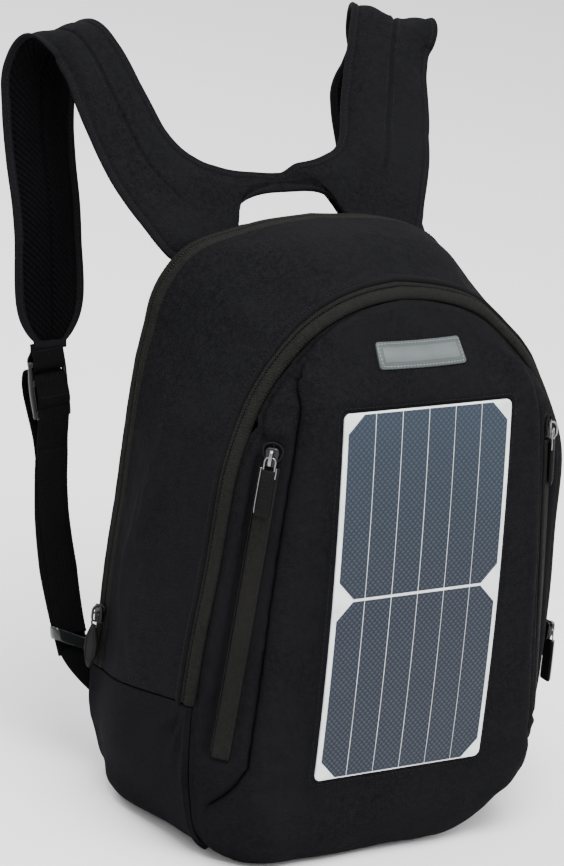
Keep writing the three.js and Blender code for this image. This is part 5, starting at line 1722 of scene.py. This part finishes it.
# ------------------------------------------------------------------ inside pieces
def soften(node_name, body, slot_name, mat, amp=0.9, cell=9.0, seed=0, pad=False):
    """A cloth version of a flat inside panel: same outline, fine mesh, gentle waves."""
    src = bpy.data.objects[node_name]
    me = src.data
    bm = bmesh.new()
    bm.from_mesh(me)
    bm.transform(src.matrix_world)
    bmesh.ops.triangulate(bm, faces=bm.faces)
    for _ in range(7):
        long_ = [e for e in bm.edges if e.calc_length() > cell * MM]
        if not long_:
            break
        bmesh.ops.subdivide_edges(bm, edges=long_, cuts=1, use_grid_fill=False)
        bmesh.ops.triangulate(bm, faces=[f for f in bm.faces if len(f.verts) > 3])
    P = np.array([v.co[:] for v in bm.verts]) / MM
    d = fbm(P / 46 + seed, 2) * amp
    for v, k_ in zip(bm.verts, d):
        v.co.y += k_ * MM
    new = bpy.data.meshes.new(node_name + "_cloth")
    bm.to_mesh(new)
    bm.free()
    ob = bpy.data.objects.new(node_name + "_cloth", new)
    bpy.context.scene.collection.objects.link(ob)
    new.materials.append(mat)
    set_uv(ob, np.array([[v.co.x, v.co.z] for v in new.vertices]))
    new.polygons.foreach_set("use_smooth", [False] * len(new.polygons))
    ride(ob, body, slot_name, node_name)
    return ob


soften("divider_panel", "pack", "lining_cloth", LINING, 0.5, 9.0, 3)
soften("organizer_pocket", "pack", "mesh_cloth", MESH_IN, 0.35, 8.0, 6)
soften("laptop_sleeve", "back_flap", "lining_cloth", LINING, 0.5, 9.0, 9)
for n_, m_ in (("base_board", BOARD), ("panel_stiffener", BOARD), ("frame_sheet", BOARD), ("charge_regulator", BOXP), ("solar_junction_box", BOXP), ("usb_socket", STEEL)):
    ob = bpy.data.objects[n_]
    ob.data.materials.clear()
    ob.data.materials.append(m_)


# ------------------------------------------------------------------ settle the soft pieces, then hand them over
cloth_pass(soft_jobs)
for ob in (gusset, front, back, base, under):
    bm = bmesh.new()
    bm.from_mesh(ob.data)
    bmesh.ops.recalc_face_normals(bm, faces=bm.faces)
    bm.to_mesh(ob.data)
    bm.free()


def outward(ob, inside=(0, 0.0, 0.19)):
    """Turn an open skin's faces away from the bag's middle."""
    me = ob.data
    n = len(me.polygons)
    c, m = np.empty(n * 3), np.empty(n * 3)
    me.polygons.foreach_get("center", c)
    me.polygons.foreach_get("normal", m)
    d = ((c.reshape(-1, 3) - inside) * m.reshape(-1, 3)).sum(1)
    if (d < 0).mean() > 0.5:
        me.flip_normals()


for ob, t, sub in ((gusset, 1.6, 1), (front, 1.6, 0), (back, 1.6, 0), (base, 1.6, 1), (under, 1.6, 1)):
    outward(ob)
    shell(ob, t, sub)
    co = coords(ob.data)
    co[:, 2] = np.maximum(co[:, 2], 0.0)
    ob.data.vertices.foreach_set("co", co.ravel())
    ob.data.update()
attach(gusset, "pack")
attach(base, "pack")
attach(under, "pack")
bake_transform(front)
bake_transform(back)
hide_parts("side_panel_left", "side_panel_right", "top_panel")
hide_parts("front_panel", "side_pocket_left", "side_pocket_right")
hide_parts("back_panel")
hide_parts("base_panel")
finish_straps()


# ------------------------------------------------------------------ studio
def studio():
    me = bpy.data.meshes.new("floor")
    me.from_pydata([(-6, -6, 0), (6, -6, 0), (6, 6, 0), (-6, 6, 0)], [], [(0, 1, 2, 3)])
    fl = bpy.data.objects.new("floor", me)
    bpy.context.scene.collection.objects.link(fl)
    m, nt, b = new_mat("floor_pale")
    b.inputs["Base Color"].default_value = (0.86, 0.86, 0.86, 1)
    b.inputs["Roughness"].default_value = 0.7
    me.materials.append(m)
    w = bpy.data.worlds.new("studio")
    bpy.context.scene.world = w
    w.use_nodes = True
    w.node_tree.nodes["Background"].inputs[0].default_value = (1, 1, 1, 1)
    w.node_tree.nodes["Background"].inputs[1].default_value = 1.25

    def area(name, loc, target, size, power):
        d = bpy.data.lights.new(name, "AREA")
        d.shape = "RECTANGLE"
        d.size, d.size_y = size
        d.energy = power
        o = bpy.data.objects.new(name, d)
        bpy.context.scene.collection.objects.link(o)
        o.location = loc
        o.rotation_euler = (Vector(target) - Vector(loc)).to_track_quat("-Z", "Y").to_euler()

    area("key", (-0.3, -0.9, 2.4), (0, 0, 0.22), (1.8, 1.4), 110)
    area("fill", (2.2, -1.2, 1.4), (0, 0, 0.22), (1.6, 1.6), 30)
    area("rim", (-0.6, 2.2, 2.0), (0, 0, 0.25), (1.8, 1.0), 60)


studio()
